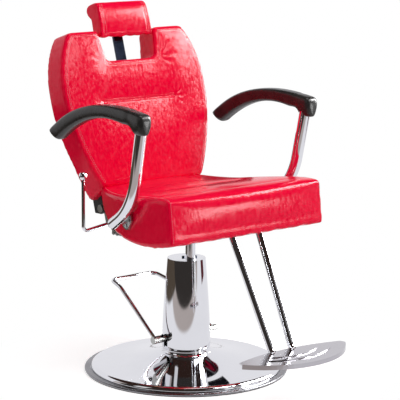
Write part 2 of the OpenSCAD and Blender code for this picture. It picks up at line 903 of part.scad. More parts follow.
module foot_tube() {
    difference() {
        bent_tube(foot_path, foot_radii, foot_tube_d, foot_tube_t);
        under_slope() translate([-foot_top_gap, -foot_top_gap, flange_plate_t - 60])
            cube([2 * foot_top_gap, 2 * foot_top_gap, 60]);
    }
}

module foot_tube_right() {
    color("silver") on_deck() mirror([1, 0, 0]) foot_tube();
}

module foot_tube_left() {
    color("silver") on_deck() foot_tube();
}

module foot_caps() {
    end = foot_path[2];
    along = unit(foot_path[2] - foot_path[1]);
    color("black") on_deck() both_sides() {
        rod(end, end + along * 5, foot_tube_d);
        rod(end - along * 10, end + along, foot_tube_d - 2 * foot_tube_t);
    }
}

// plan of the foot plate: an arc in front, a flat arc behind, pointed ends
module foot_plan(k) {
    half = asin(foot_half_w / foot_front_r);
    front = arc([0, foot_centre_y], foot_front_r - k, -90 - half, -90 + half, 28);
    rear_sag = foot_back - (foot_tip_y + 16);
    rear_r = (foot_half_w * foot_half_w + rear_sag * rear_sag) / (2 * rear_sag);
    rear_half = asin((foot_half_w - 4) / rear_r);
    rear = arc([0, foot_back - rear_r], rear_r - k, 90 - rear_half, 90 + rear_half, 16);
    polygon(concat(front, rear));
}

foot_lip = 10;
rib_h = 2.5;

// one pressed rib along an arc of the plate, rounded on top
module foot_rib(r, half)
    translate([0, foot_centre_y, 0]) rotate([0, 0, -90 - half])
        rotate_extrude(angle = 2 * half) translate([r, 0])
            difference() {
                circle(r = 4);
                translate([-5, -10]) square([10, 10]);
                translate([-5, rib_h]) square([10, 10]);
            }

module foot_plate() {
    color("silver") on_deck() difference() {
        translate([0, 0, foot_z]) {
            linear_extrude(foot_plate_t) foot_plan(0);
            difference() {
                translate([0, 0, -foot_lip]) linear_extrude(foot_lip) foot_plan(0);
                translate([0, 0, -foot_lip - 1]) linear_extrude(foot_lip + 2)
                    union() {
                        foot_plan(foot_plate_t);
                        translate([-base_d / 2, foot_tip_y + 2]) square([base_d, foot_half_w]);
                    }
            }
            translate([0, 0, foot_plate_t]) {
                foot_rib(foot_front_r - 74, 30);
                foot_rib(foot_front_r - 42, 34);
            }
        }
        both_sides() bent(foot_path, foot_radii, foot_tube_d + 2 * run_gap);
    }
}

// ---- back hinge and lock ----

hinge_z = 64;
recline = 35;
lug_back = recline / 2;
bracket_t = 6;
bracket_x = cross_x;
lever_y = hinge_y - 35;
lever_z = 24;
lug_x = 45;
rod_x = 35;
lock_rod_d = 10;
lug_pin_d = 8;
// the lock rod lies half way between the highest and lowest places of the pin
pin_high = hinge_z - lug_l * cos(lug_back);
pin_low = hinge_z - lug_l;
lock_z = (pin_high + pin_low) / 2;
pin_y = hinge_y + lug_l * sin(lug_back);
lock_travel = 2 * lug_l * sin(lug_back);
housing_d = 24;
housing_l = 65;

module at_hinge()
    translate([0, hinge_y, hinge_z]) children();

module bracket() {
    difference() {
        plate_x(bracket_x, bracket_x + bracket_t) {
            polygon([[cross_back - tube_w, board_z], [cross_back - tube_w, rail_z - 10],
                [cross_back + 13, rail_z - 10], [hinge_y - 43, 12], [hinge_y - 19, 22], [hinge_y - 9, 52],
                [hinge_y - 7, 78], [hinge_y - 23, 62], [hinge_y - 53, 40], [cross_back - 15, board_z]]);
            translate([hinge_y, hinge_z]) circle(r = 15);
            translate([lever_y, lever_z]) circle(r = 10);
        }
        at_hinge() bar_x(-200, 200, axle_d + 2 * run_gap);
        translate([0, lever_y, lever_z]) bar_x(-200, 200, lever_d + 2 * run_gap);
    }
}

module hinge_brackets() {
    bolt_z = 2;
    color("silver") on_deck() both_sides() {
        bracket();
        for (y = [cross_back - 12, cross_back + 6])
            translate([bracket_x + bracket_t, y, bolt_z]) rotate([0, 90, 0]) hex(12, 6);
    }
}

module lock_housing() {
    color("dimgray") on_deck() translate([-rod_x, housing_front, lock_z]) rotate([-90, 0, 0])
        difference() {
            union() {
                cylinder(d = housing_d, h = housing_l);
                translate([0, 0, housing_l - 8]) cylinder(d = housing_d + 3, h = 8);
            }
            translate([0, 0, -eps]) cylinder(d = lock_rod_d + 2 * run_gap, h = housing_l + 1);
        }
}

// saddle that hangs the lock housing under the rear cross tube
module lock_mount() {
    color("dimgray") on_deck() difference() {
        translate([-rod_x - 18, cross_back - tube_w + 4, lock_z - 4])
            cube([36, tube_w - 8, rail_z - lock_z + 4]);
        translate([-rod_x, housing_front - 1, lock_z]) rotate([-90, 0, 0])
            cylinder(d = housing_d, h = housing_l + 2);
    }
}

module hinge_axle() {
    color("silver") on_deck() at_hinge() {
        bar_x(-bracket_x - bracket_t - hinge_t - 4, bracket_x + bracket_t + hinge_t + 4, axle_d);
        both_sides() translate([bracket_x + bracket_t + hinge_t + 1.5, 0, 0]) rotate([0, 90, 0])
            difference() {
                cylinder(d = axle_d + 8, h = 2.5);
                translate([0, 0, -1]) cylinder(d = axle_d, h = 5);
            }
    }
}

// the lug hangs from the axle, leaning back at rest by half of the recline
module lock_lug() {
    pin = [lug_l * sin(lug_back), -lug_l * cos(lug_back)];
    across = 9 * [cos(lug_back), sin(lug_back)];
    color("dimgray") on_deck() at_hinge() difference() {
        union() {
            plate_x(-lug_x - 4, -lug_x + 4) {
                circle(r = 16);
                translate(pin) circle(r = 9);
                polygon([across, pin + across, pin - across, -across]);
            }
            translate([0, pin[0], pin[1]]) bar_x(-lug_x - 4, -rod_x + 5, lug_pin_d);
        }
        bar_x(-200, 200, axle_d);
    }
}

// the rod ends in a flat eye whose slot lets the pin rise and fall
module lock_rod() {
    play = 0.3;
    eye_h = 20;
    eye_l = 22;
    color("silver") on_deck() {
        difference() {
            union() {
                translate([-rod_x, housing_front + 6, lock_z]) rotate([-90, 0, 0])
                    cylinder(d = lock_rod_d, h = pin_y - housing_front - 6 - 11);
                translate([-rod_x - 3, pin_y - 13, lock_z - eye_h / 2]) cube([6, eye_l, eye_h]);
            }
            plate_x(-rod_x - 10, -rod_x + 10) {
                translate([pin_y, pin_high]) circle(d = lug_pin_d + 2 * play);
                translate([pin_y, pin_low]) circle(d = lug_pin_d + 2 * play);
                translate([pin_y - lug_pin_d / 2 - play, pin_low])
                    square([lug_pin_d + 2 * play, pin_high - pin_low]);
            }
        }
    }
}

// ---- backrest, drawn in its own frame: x across, y into the back, z up along it ----

back_y = hinge_y - 48.2;
back_z = 141;
back_low = 8;
back_bulge = 14;
board_n = 64;
panel_t = 12;
wrap_t = 8;
flange_in = hinge_w;

module on_back()
    on_deck() translate([0, back_y, back_z]) rotate([-back_lean, 0, 0]) children();

// extrudes a drawing of the back from depth n0 to depth n1
module slab(n0, n1)
    translate([0, n1, 0]) rotate([90, 0, 0]) linear_extrude(n1 - n0) children();

back_side = [[back_low_w, 0], [back_low_w + 64, 0.245], [back_top_w + 103, 0.72], [back_top_w, 1]];

module back_outline(k) {
    half = [for (i = [0:20]) let (p = bezier(back_side, i / 20)) [p[0], back_low + p[1] * back_h]];
    offset(r = 13) offset(delta = -13 - k)
        polygon(concat(half, [for (p = reversed(half)) [-p[0], p[1]]]));
}

back_top = back_low + back_h;
notch_floor = back_top - notch_h;

module notch_outline() {
    flare = (notch_top_w - notch_low_w) / notch_h;
    top = notch_h + 60;
    offset(r = 12) offset(delta = -12)
        polygon([[-notch_low_w, notch_floor], [notch_low_w, notch_floor],
            [notch_low_w + flare * top, notch_floor + top],
            [-notch_low_w - flare * top, notch_floor + top]]);
}

// the outline of the pieces inside the back, smaller by k all round and round the notch
module back_inner(k)
    difference() {
        back_outline(k);
        offset(delta = k) notch_outline();
    }

guide_w = bar_w + 10;
guide_low = 230;
guide_h = 132;
guide_front = 46;
bar_n = 50;

module flange_slots(grow)
    both_sides() translate([bracket_x + bracket_t + 1 - flange_in - grow, 4 - grow])
        square([flange_in + hinge_t + 2 * grow, arm_flange_h + 5]);

module back_cushion() {
    color("crimson") on_back() difference() {
        hull() {
            slab(-back_bulge, -back_bulge + 1) back_outline(90);
            slab(-6, -5) back_outline(40);
            slab(0, 1) back_outline(13);
            slab(7, 8) back_outline(3);
            slab(18, back_t - 8) back_outline(0);
            slab(back_t - 1, back_t) back_outline(4);
        }
        slab(-100, 200) notch_outline();
        slab(board_n, back_t + 1) back_inner(wrap_t);
        slab(guide_front, board_n + 1)
            translate([-guide_w / 2 - 1, guide_low - 90]) square([guide_w + 2, notch_floor - guide_low + 100]);
        slab(board_n + board_t - fit_gap, board_n + board_t + 4 + fit_gap)
            translate([0, -20]) intersection() {
                flange_slots(fit_gap);
                square([600, 100], center = true);
            }
    }
}

module back_board() {
    color("burlywood") on_back() difference() {
        slab(board_n, board_n + board_t) back_inner(wrap_t + fit_gap);
        back_screw_places() screw_hole(4.2);
    }
}

// the upholstered rear panel, hollow where the hinge flanges pass
module back_panel() {
    n0 = board_n + board_t;
    color("crimson") on_back() difference() {
        slab(n0, n0 + panel_t) back_inner(wrap_t + fit_gap);
        slab(n0 - 1, n0 + 4.5) back_inner(wrap_t + 16);
        slab(n0 - 1, n0 + 4.5) translate([0, -24]) flange_slots(1);
    }
}

arm_flange_t = 4;
arm_flange_low = -20;
arm_flange_h = 205;
arm_ring_r = 16;

module back_screw_places()
    both_sides()
        for (u = [60, 110, 160])
            translate([bracket_x + bracket_t + 1 - flange_in / 2, board_n + board_t, u]) children();

module screw_hole(d)
    rotate([90, 0, 0]) translate([0, 0, -10]) cylinder(d = d, h = 30);

// each hinge arm is a flange on the back board with an upright plate down to the axle
module hinge_arms() {
    hinge_n = (hinge_y - back_y) * cos(back_lean) - (hinge_z - back_z) * sin(back_lean);
    hinge_u = (hinge_y - back_y) * sin(back_lean) + (hinge_z - back_z) * cos(back_lean);
    x = bracket_x + bracket_t + 1;
    n0 = board_n + board_t;
    color("#3a3a36") on_back() both_sides() difference() {
        union() {
            plate_x(x, x + hinge_t) {
                polygon([[hinge_n - arm_ring_r + 0.5, hinge_u + 4], [hinge_n - 11, back_low - 2],
                    [hinge_n + 31, back_low - 2], [hinge_n + 31, hinge_u - 8],
                    [hinge_n + 5, hinge_u - arm_ring_r + 0.8]]);
                translate([hinge_n, hinge_u]) circle(r = arm_ring_r);
            }
            slab(n0, n0 + arm_flange_t)
                translate([x - flange_in, arm_flange_low]) square([flange_in, arm_flange_h]);
        }
        translate([0, hinge_n, hinge_u]) bar_x(0, 300, axle_d);
        back_screw_places() screw_hole(5);
    }
}

// ---- headrest, in the frame of the back ----

head_low = notch_floor + 69;
head_plate_t = 4;
head_plate_w = 120;
head_plate_h = 44;
head_plate_u = head_low + 22;
bar_tail = 22;

module headrest_guide() {
    color("dimgray") on_back() difference() {
        slab(bar_n - 4, board_n) translate([-guide_w / 2, guide_low]) square([guide_w, guide_h]);
        slab(bar_n - 0.1, bar_n + bar_t + 0.1)
            translate([-bar_w / 2 - 0.1, guide_low - 1]) square([bar_w + 0.2, guide_h + 8]);
    }
}

module headrest_bar() {
    color("#20242c") on_back() slab(bar_n, bar_n + bar_t) difference() {
        translate([-bar_w / 2, guide_low - bar_tail])
            square([bar_w, head_plate_u + head_plate_h - guide_low + bar_tail]);
        for (s = [-1, 1])
            translate([s * bar_w / 2, guide_low - bar_tail]) rotate([0, 0, 45]) square(5, center = true);
    }
}

module headrest_plate() {
    color("dimgray") on_back() slab(bar_n - head_plate_t, bar_n) difference() {
        translate([-head_plate_w / 2, head_plate_u]) square([head_plate_w, head_plate_h]);
        for (s = [-1, 1])
            translate([s * (head_plate_w / 2 - 10), head_plate_u + head_plate_h / 2]) circle(d = 5);
    }
}

// side view of the headrest: flat front, rolled lobe at the top of the rear
head_side = [[4, 2], [18, 3], [34, 12], [42, 22], [46, 22.1], [46, 66.1], [52, 68], [62, 80], [66, 92],
    [63, 102], [52, 108], [34, 110], [16, 109.5], [5, 104], [0, 94], [-3, 74], [-4, 52], [-3, 30], [0, 10]];

function head_ring(x, k) =
    let (mid = [26, 54])
    [for (p = head_side)
        let (q = p + unit(mid - p) * k, s = head_h / 110)
        [x * lerp(head_low_w, head_top_w, p[1] / 110), q[0], head_low + q[1] * s]];

module headrest_cushion() {
    xs = [-1, -0.985, -0.95, -0.88, -0.6, -0.3, 0.3, 0.6, 0.88, 0.95, 0.985, 1];
    ks = [13, 7, 2.5, 0, 0, 0, 0, 0, 0, 2.5, 7, 13];
    color("crimson") on_back() difference() {
        loft([for (i = [0:len(xs) - 1]) head_ring(xs[i], ks[i])]);
        slab(bar_n - head_plate_t, bar_n + 20)
            translate([-head_plate_w / 2, head_plate_u]) square([head_plate_w, head_plate_h]);
    }
}

// ---- recline lever ----

lever_path = [[-52, lever_y, lever_z], [-165, lever_y, lever_z],
    [-lever_x, lever_y, lever_z - 12], [-lever_x, lever_y, lever_z + lever_h - ball_d / 2]];

module lever_rod() {
    color("silver") on_deck() {
        bent(lever_path, [0, 60, 13, 0], lever_d);
        difference() {
            translate([0, lever_y, lever_z]) plate_x(-62, -52) {
                circle(r = 10);
                polygon([[-8, 6], [8, -6], [0, -26], [-8, -26]]);
            }
            translate([0, lever_y, lever_z]) bar_x(-52 - eps, 0, lever_d);
        }
    }
}

module lever_ball() {
    color("silver") on_deck() translate([-lever_x, lever_y, lever_z + lever_h]) difference() {
        sphere(d = ball_d);
        translate([0, 0, -ball_d]) cylinder(d = lever_d, h = ball_d / 2);
    }
}

base_dish();
base_rim();
base_gasket();
base_stiffener();
neck_ring();
pump_body();
pump_bolts();
pump_cover();
pump_cap();
cap_screws();
guide_bush();
ram_seal();
shaft_bushes();
pedal_shaft();
pedal_loop();
pedal_clamps();
clamp_screws();
pump_cam();
plunger();
ram();
ram_piston();
ram_nut();
swivel_hub();
swivel_plate();
plate_bolts();
rail_right();
rail_left();
front_cross();
rear_cross();
seat_board();
side_planks();
seat_cushion();
arm_right();
arm_left();
pad_right();
pad_left();
arm_gussets();
arm_bolts();
arm_plugs();
foot_flange();
foot_tube_right();
foot_tube_left();
foot_plate();
foot_caps();
hinge_brackets();
lock_housing();
lock_mount();
hinge_axle();
hinge_arms();
lock_lug();
back_board();
back_cushion();
back_panel();
headrest_guide();
headrest_bar();
headrest_plate();
headrest_cushion();
lever_rod();
lever_ball();
lock_rod();
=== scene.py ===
"""Dresses a hydraulic barber chair: upholstery, arm pads, plated and painted finishes, and the studio."""

import json
import math

import bmesh
import bpy
import numpy as np
from bpy.props import FloatProperty, FloatVectorProperty, IntProperty, PointerProperty
from mathutils import Matrix, Vector
from mathutils.bvhtree import BVHTree


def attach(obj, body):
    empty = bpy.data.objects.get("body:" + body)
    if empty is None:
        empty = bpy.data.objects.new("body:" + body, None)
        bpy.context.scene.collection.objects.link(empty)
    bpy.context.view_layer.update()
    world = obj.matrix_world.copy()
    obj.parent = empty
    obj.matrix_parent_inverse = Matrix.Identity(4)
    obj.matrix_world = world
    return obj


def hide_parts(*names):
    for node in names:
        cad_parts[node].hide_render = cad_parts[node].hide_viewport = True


bl_info = {
    "name": "Barber Chair Trim Shop",
    "version": (1, 0, 0),
    "blender": (4, 5, 0),
    "location": "3D View > Sidebar > Chair",
    "description": "Upholsters, plates and lights a hydraulic barber chair",
    "category": "Object",
}

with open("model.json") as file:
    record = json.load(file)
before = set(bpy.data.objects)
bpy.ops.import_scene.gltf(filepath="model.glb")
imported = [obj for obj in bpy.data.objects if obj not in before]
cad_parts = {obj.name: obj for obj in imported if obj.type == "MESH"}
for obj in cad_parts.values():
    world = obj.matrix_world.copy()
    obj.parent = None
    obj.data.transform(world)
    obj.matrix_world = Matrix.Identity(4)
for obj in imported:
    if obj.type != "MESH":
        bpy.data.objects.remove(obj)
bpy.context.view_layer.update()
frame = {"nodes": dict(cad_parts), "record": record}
NODES = frame["nodes"]
MM = 0.001


def srgb(code):
    """An sRGB hex value as linear red, green and blue."""
    parts = [int(code[i : i + 2], 16) / 255 for i in (1, 3, 5)]
    return tuple(c / 12.92 if c <= 0.04045 else ((c + 0.055) / 1.055) ** 2.4 for c in parts)


# ---------------- sizes and colours


def length_setting(name, description, default):
    return FloatProperty(name=name, description=description, default=default, unit="LENGTH")


def colour_setting(name, description, code):
    shown = {"name": name, "description": description, "subtype": "COLOR"}
    return FloatVectorProperty(size=3, default=srgb(code), **shown)


class ChairSizes(bpy.types.PropertyGroup):
    """Sizes of the upholstery, in metres."""

    voxel: length_setting("Cover grid", "Spacing of the grid a cover is inflated on", 0.006)
    pressure: FloatProperty(name="Foam pressure", description="How hard the foam pushes", default=4.0)
    back_crown: length_setting("Back crown", "How far the back cover may stand out of its flat", 0.022)
    seat_crown: length_setting("Seat crown", "How far the seat cover may stand out of its flat", 0.022)
    stitch: length_setting("Stitch", "Length of one stitch", 0.0045)
    stitch_pitch: length_setting("Stitch pitch", "Distance from one stitch to the next", 0.0065)
    thread: length_setting("Thread", "Diameter of the sewing thread", 0.0013)
    spin_steps: IntProperty(name="Turned steps", description="Flats round a turned piece", default=160)


class ChairColours(bpy.types.PropertyGroup):
    """Colours of the finishes, linear."""

    vinyl: colour_setting("Vinyl", "Body of the crimson vinyl", "#F60038")
    vinyl_dark: colour_setting("Vinyl depths", "Veins and pores of the vinyl", "#EC0032")
    thread: colour_setting("Thread", "Pink polyester thread", "#F39AA6")
    pad: colour_setting("Arm pad", "Charcoal skin of the arm pads", "#2C2A29")
    chrome: colour_setting("Chrome", "Decorative chrome plate", "#E9EAEE")


def sizes():
    return bpy.context.scene.chair_sizes


def colours():
    return bpy.context.scene.chair_colours


# ---------------- materials


def add(tree, kind, settings=None, links=None):
    """Adds a shader node, sets its fields or sockets, and joins its inputs to outputs or first outputs."""
    made = tree.nodes.new("ShaderNode" + kind)
    for key, value in (settings or {}).items():
        if isinstance(key, str) and hasattr(made, key) and key not in made.inputs:
            setattr(made, key, value)
        else:
            made.inputs[key].default_value = value
    for key, source in (links or {}).items():
        if isinstance(source, bpy.types.Node):
            source = source.outputs[0]
        tree.links.new(source, made.inputs[key])
    return made


def new_material(name):
    made = bpy.data.materials.new(name)
    made.use_nodes = True
    made.node_tree.nodes.clear()
    return made, made.node_tree


def finish_material(tree, settings, links):
    add(tree, "OutputMaterial", links={"Surface": add(tree, "BsdfPrincipled", settings, links)})


def ramp(tree, fac, stops):
    """Colours by a value: each stop is a place and a linear colour."""
    made = add(tree, "ValToRGB", links={"Fac": fac})
    elements = made.color_ramp.elements
    while len(elements) < len(stops):
        elements.new(0.5)
    for element, (place, colour) in zip(elements, stops):
        element.position = place
        element.color = (*colour, 1)
    return made


def grey(v):
    return (v, v, v)


def darker(colour, factor):
    return tuple(factor * c for c in colour)


def object_coords(tree, scale=(1, 1, 1), turn=(0, 0, 0)):
    place = add(tree, "TexCoord").outputs["Object"]
    return add(tree, "Mapping", {"Scale": scale, "Rotation": turn}, {"Vector": place})


def vinyl(name, light, dark, gloss):
    """PVC-coated upholstery vinyl, calendered with a crinkle grain: a wet gloss broken into short streaks."""
    made, tree = new_material(name)
    # the crinkle runs in strokes about 2 to 3 mm wide and three times as long
    strokes = object_coords(tree, (1.0, 1.0, 0.3), (0.35, 0.25, 0.0))
    crinkle = {"Scale": 190.0, "Detail": 2.5, "Roughness": 0.55, "Distortion": 0.4}
    streak = add(tree, "TexNoise", crinkle, {"Vector": strokes})
    plain = object_coords(tree)
    cloud = add(tree, "TexNoise", {"Scale": 26.0, "Detail": 3.0, "Roughness": 0.6}, {"Vector": plain})
    # real pores are finer than the render can show, so they are drawn 2.4 mm apart
    pores = add(tree, "TexVoronoi", {"feature": "DISTANCE_TO_EDGE", "Scale": 420.0}, {"Vector": plain})
    veins = ramp(tree, streak, [(0.3, grey(0.2)), (0.55, grey(1))])
    colour = add(tree, "Mix", {"data_type": "RGBA", 6: (*dark, 1), 7: (*light, 1)}, {0: veins})
    uneven = {"From Min": 0.35, "From Max": 0.68, "To Min": gloss, "To Max": gloss + 0.16}
    rough = add(tree, "MapRange", uneven, {"Value": streak})
    # the crests of the crinkle carry the gloss, so a highlight breaks up into strokes
    crests = {"From Min": 0.38, "From Max": 0.62, "To Min": 0.08, "To Max": 0.27}
    shine = add(tree, "MapRange", crests, {"Value": streak})
    height = add(tree, "Math", {"operation": "MULTIPLY_ADD", 1: 1.6}, {0: cloud, 2: streak})
    relief = add(tree, "Bump", {"Strength": 0.5, "Distance": 0.00035}, {"Height": height})
    grain = add(tree, "Bump", {"Strength": 0.1, "Distance": 0.0002}, {"Height": pores, "Normal": relief})
    links = {"Base Color": colour.outputs[2], "Roughness": rough, "Normal": grain}
    finish_material(tree, {"IOR": 1.5}, {**links, "Specular IOR Level": shine})
    return made


def chrome(name, tint, rough, smear=0.05, scratch=0.0):
    """Decorative chrome plate over polished steel: a cool mirror with faint hand smears."""
    made, tree = new_material(name)
    hand = {"Scale": 9.0, "Detail": 4.0, "Roughness": 0.62}
    smears = add(tree, "TexNoise", hand, {"Vector": object_coords(tree)})
    wiped = {"From Min": 0.45, "From Max": 0.75, "To Min": rough, "To Max": rough + smear}
    links = {
        "Base Color": ramp(tree, smears, [(0.3, darker(tint, 0.96)), (0.7, tint)]),
        "Roughness": add(tree, "MapRange", wiped, {"Value": smears}),
    }
    if scratch:
        # marks of the lathe round a turned piece, drawn 0.7 mm apart so that they show
        round_it = object_coords(tree, (0.02, 0.02, 1))
        marks = add(tree, "TexNoise", {"Scale": 1400.0, "Detail": 2.0}, {"Vector": round_it})
        links["Normal"] = add(tree, "Bump", {"Strength": scratch, "Distance": 0.0001}, {"Height": marks})
    finish_material(tree, {"Metallic": 1.0}, links)
    return made


def plain_finish(
    name, light, dark, rough, spread, metallic=0.0, scale=60.0, bump=0.15, depth=0.0002, coat=0.0
):
    """A paint, casting, rubber or moulding: two close tones, an uneven sheen and a fine surface."""
    made, tree = new_material(name)
    coords = {"Vector": object_coords(tree)}
    tone = add(tree, "TexNoise", {"Scale": scale * 0.3, "Detail": 4.0, "Roughness": 0.6}, coords)
    fine = add(tree, "TexNoise", {"Scale": scale * 12, "Detail": 3.0, "Roughness": 0.6}, coords)
    sheen = {"From Min": 0.3, "From Max": 0.7, "To Min": rough, "To Max": rough + spread}
    links = {
        "Roughness": add(tree, "MapRange", sheen, {"Value": tone}),
        "Normal": add(tree, "Bump", {"Strength": bump, "Distance": depth}, {"Height": fine}),
        "Base Color": ramp(tree, tone, [(0.3, dark), (0.7, light)]),
    }
    finish_material(tree, {"Metallic": metallic, "Coat Weight": coat, "Coat Roughness": 0.15}, links)
    return made


def birch_ply(name):
    """Rotary-cut birch plywood, raw: pale bands along the grain."""
    made, tree = new_material(name)
    growth = {"Scale": 8.0, "Detail": 6.0, "Roughness": 0.65, "Distortion": 0.4}
    bands = add(tree, "TexNoise", growth, {"Vector": object_coords(tree, (14.0, 1.0, 14.0))})
    links = {
        "Normal": add(tree, "Bump", {"Strength": 0.2, "Distance": 0.0003}, {"Height": bands}),
        "Base Color": ramp(tree, bands, [(0.3, srgb("#A47B4C")), (0.7, srgb("#D6B98A"))]),
    }
    finish_material(tree, {"Roughness": 0.62}, links)
    return made


def seen_rays(tree, glossy=True):
    """1 for rays that show a thing, straight, through glass or in a mirror, and 0 for rays that light it."""
    path = add(tree, "LightPath").outputs
    either = {"operation": "MAXIMUM"}
    seen = add(tree, "Math", either, {0: path["Is Camera Ray"], 1: path["Is Transmission Ray"]})
    if glossy:
        seen = add(tree, "Math", either, {0: seen, 1: path["Is Glossy Ray"]})
    return seen


def seamless_paper(glow, tone, near, far):
    """Matt seamless paper: it keeps a shadow round the base and runs out to plain white from near to far."""
    made, tree = new_material("seamless_paper")
    place = object_coords(tree)
    grain = add(tree, "TexNoise", {"Scale": 3.0, "Detail": 2.0}, {"Vector": place})
    pulp = ramp(tree, grain, [(0.0, grey(tone * 0.99)), (1.0, grey(tone))])
    paper = add(tree, "BsdfDiffuse", links={"Color": pulp})
    lift = add(tree, "Emission", {"Color": (1, 1, 1, 1), "Strength": glow})
    white = add(tree, "Emission", {"Color": (1, 1, 1, 1), "Strength": 1.0})
    radius = add(tree, "VectorMath", {"operation": "LENGTH"}, {0: place}).outputs["Value"]
    edge = {"interpolation_type": "SMOOTHSTEP", "From Min": near, "From Max": far}
    run_out = add(tree, "MapRange", edge, {"Value": radius})
    both = add(tree, "AddShader", links={0: paper, 1: lift})
    shown = add(tree, "MixShader", links={0: run_out, 1: both, 2: white})
    mix = add(tree, "MixShader", links={0: seen_rays(tree), 1: paper, 2: shown})
    add(tree, "OutputMaterial", links={"Surface": mix})
    return made


def glow_card(name, colour=(0, 0, 0)):
    """A studio card that only shows in reflections: it glows but lights nothing."""
    made, tree = new_material(name)
    made.cycles.emission_sampling = "NONE"
    light = add(tree, "Emission", {"Color": (*colour, 1), "Strength": 1.0})
    add(tree, "OutputMaterial", links={"Surface": light})
    return made, tree, light.inputs["Color"]


def room_tone(name, sides):
    """A card that falls from white to the dark of the room: a side is an azimuth and tones by metres to it."""
    made, tree, glow = glow_card(name)
    coords = add(tree, "TexCoord").outputs["Object"]
    tone = None
    for azimuth, stops in sides:
        # a ramp spans ten metres, from five away from the dark side to five toward it
        toward = {"operation": "DOT_PRODUCT", 1: away(math.radians(azimuth), 0) * 0.1}
        metres = add(tree, "VectorMath", toward, {0: coords}).outputs["Value"]
        place = add(tree, "Math", {"operation": "ADD", 1: 0.5}, {0: metres})
        side = ramp(tree, place, [(0.5 + reach / 10, colour) for reach, colour in stops]).outputs["Color"]
        if tone:
            darkest = {"data_type": "RGBA", "blend_type": "DARKEN", 0: 1.0}
            side = add(tree, "Mix", darkest, {6: tone, 7: side}).outputs[2]
        tone = side
    tree.links.new(tone, glow)
    return made


def painted_reflection_card(name):
    """A painted reflection seen only in the plate: a card striped black, grey and red that stands in for the
    seat's dark frame and red vinyl mirrored in the dish.
    """
    made, tree, glow = glow_card(name)
    stripe_noise = {"Scale": 10.5, "Detail": 2.0, "Roughness": 0.5, "Distortion": 0.3}
    painted_stripes = add(tree, "TexNoise", stripe_noise, {"Vector": object_coords(tree, (1.0, 1.0, 0.16))})
    # painted reflection of the seat's underside: black and grey stripes for its frame, dark red for its vinyl
    tones = [(0.34, "#141317"), (0.44, "#141317"), (0.47, "#5E5D60"), (0.495, "#26060F")]
    tones += [(0.53, "#7A0E26"), (0.56, "#1A090E"), (0.62, "#0F0E11"), (0.66, "#C0BEC4")]
    stops = [(place, srgb(code)) for place, code in tones]
    tree.links.new(ramp(tree, painted_stripes, stops).outputs["Color"], glow)
    return made


# ---------------- shared making


def as_object(name, bm):
    """A copy of a bmesh as an object in the scene."""
    mesh = bpy.data.meshes.new(name)
    bm.to_mesh(mesh)
    made = bpy.data.objects.new(name, mesh)
    bpy.context.scene.collection.objects.link(made)
    return made


def baked(made):
    """A new bmesh of an object as its modifiers leave it."""
    bpy.context.view_layer.update()
    held = made.evaluated_get(bpy.context.evaluated_depsgraph_get())
    out = bmesh.new()
    out.from_mesh(held.to_mesh())
    held.to_mesh_clear()
    return out


def discard(*things):
    for thing in things:
        mesh = thing.data
        bpy.data.objects.remove(thing)
        bpy.data.meshes.remove(mesh)


def take(bm, name, body, material):
    """Turns a finished bmesh into a piece that rides on a body."""
    made = as_object(name, bm)
    bm.free()
    for face in made.data.polygons:
        face.use_smooth = True
    made.data.materials.append(bpy.data.materials[material])
    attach(made, body)
    return made


def merged(node):
    """A CAD node's mesh with its doubles merged."""
    bm = bmesh.new()
    bm.from_mesh(NODES[node].data)
    bmesh.ops.remove_doubles(bm, verts=bm.verts, dist=1e-5)
    return bm


def prism(outline, depth, place):
    """A closed block: an outline in x and z, pushed along y by depth, then put in place."""
    bm = bmesh.new()
    face = bm.faces.new([bm.verts.new((x, 0, z)) for x, z in outline])
    out = bmesh.ops.extrude_face_region(bm, geom=[face])
    moved = [g for g in out["geom"] if isinstance(g, bmesh.types.BMVert)]
    bmesh.ops.translate(bm, verts=moved, vec=(0, depth, 0))
    bmesh.ops.transform(bm, matrix=place, verts=bm.verts)
    bmesh.ops.recalc_face_normals(bm, faces=bm.faces)
    return bm


def smooth(bm, rounds=1):
    every_way = {"use_axis_x": True, "use_axis_y": True, "use_axis_z": True}
    for _ in range(rounds):
        bmesh.ops.smooth_vert(bm, verts=bm.verts, factor=0.5, **every_way)


def regrid(bm, voxel, rounds=3):
    """An even grid over a closed block, its steps smoothed away."""
    bmesh.ops.triangulate(bm, faces=bm.faces)
    block = as_object("block", bm)
    bm.free()
    remesh = block.modifiers.new("grid", "REMESH")
    remesh.mode = "VOXEL"
    remesh.voxel_size = voxel
    out = baked(block)
    discard(block)
    smooth(out, rounds)
    return out


def points(bm):
    return np.array([v.co for v in bm.verts], float)


def set_points(bm, co):
    for v, p in zip(bm.verts, co):
        v.co = p


def share(value):
    """Held between 0 and 1."""
    return np.clip(value, 0, 1)


# an upholstery cover: stiff in its own plane, easy to bend
COVER_CLOTH = {"quality": 5, "mass": 0.3, "tension_stiffness": 12, "compression_stiffness": 12}
COVER_CLOTH |= {"shear_stiffness": 6, "bending_stiffness": 0.6, "use_pressure": True}


def inflate(bm, held, pressure, reach, frames=18):
    """Foam under a sewn cover: cloth with pressure, held where held is 1, that may move by reach at most."""
    before = points(bm)
    scene = bpy.context.scene
    cover = as_object("cover", bm)
    sewn = cover.vertex_groups.new(name="sewn")
    for i, w in enumerate(held):
        sewn.add([i], float(w), "REPLACE")
    cloth = cover.modifiers.new("foam", "CLOTH")
    cloth.settings.vertex_group_mass = "sewn"
    for key, value in COVER_CLOTH.items():
        setattr(cloth.settings, key, value)
    cloth.settings.uniform_pressure_force = pressure
    cloth.settings.effector_weights.gravity = 0
    cloth.collision_settings.use_collision = False
    cloth.point_cache.frame_start = 1
    cloth.point_cache.frame_end = frames
    for f in range(1, frames + 1):
        scene.frame_set(f)
    settled = cover.evaluated_get(bpy.context.evaluated_depsgraph_get())
    after = np.array([v.co for v in settled.data.vertices], float)
    scene.frame_set(1)
    discard(cover)
    move = after - before
    far = np.linalg.norm(move, axis=1, keepdims=True)
    move *= np.where(far > 1e-9, reach * np.tanh(far / reach) / np.maximum(far, 1e-9), 0)
    set_points(bm, before + move)
    smooth(bm, 2)


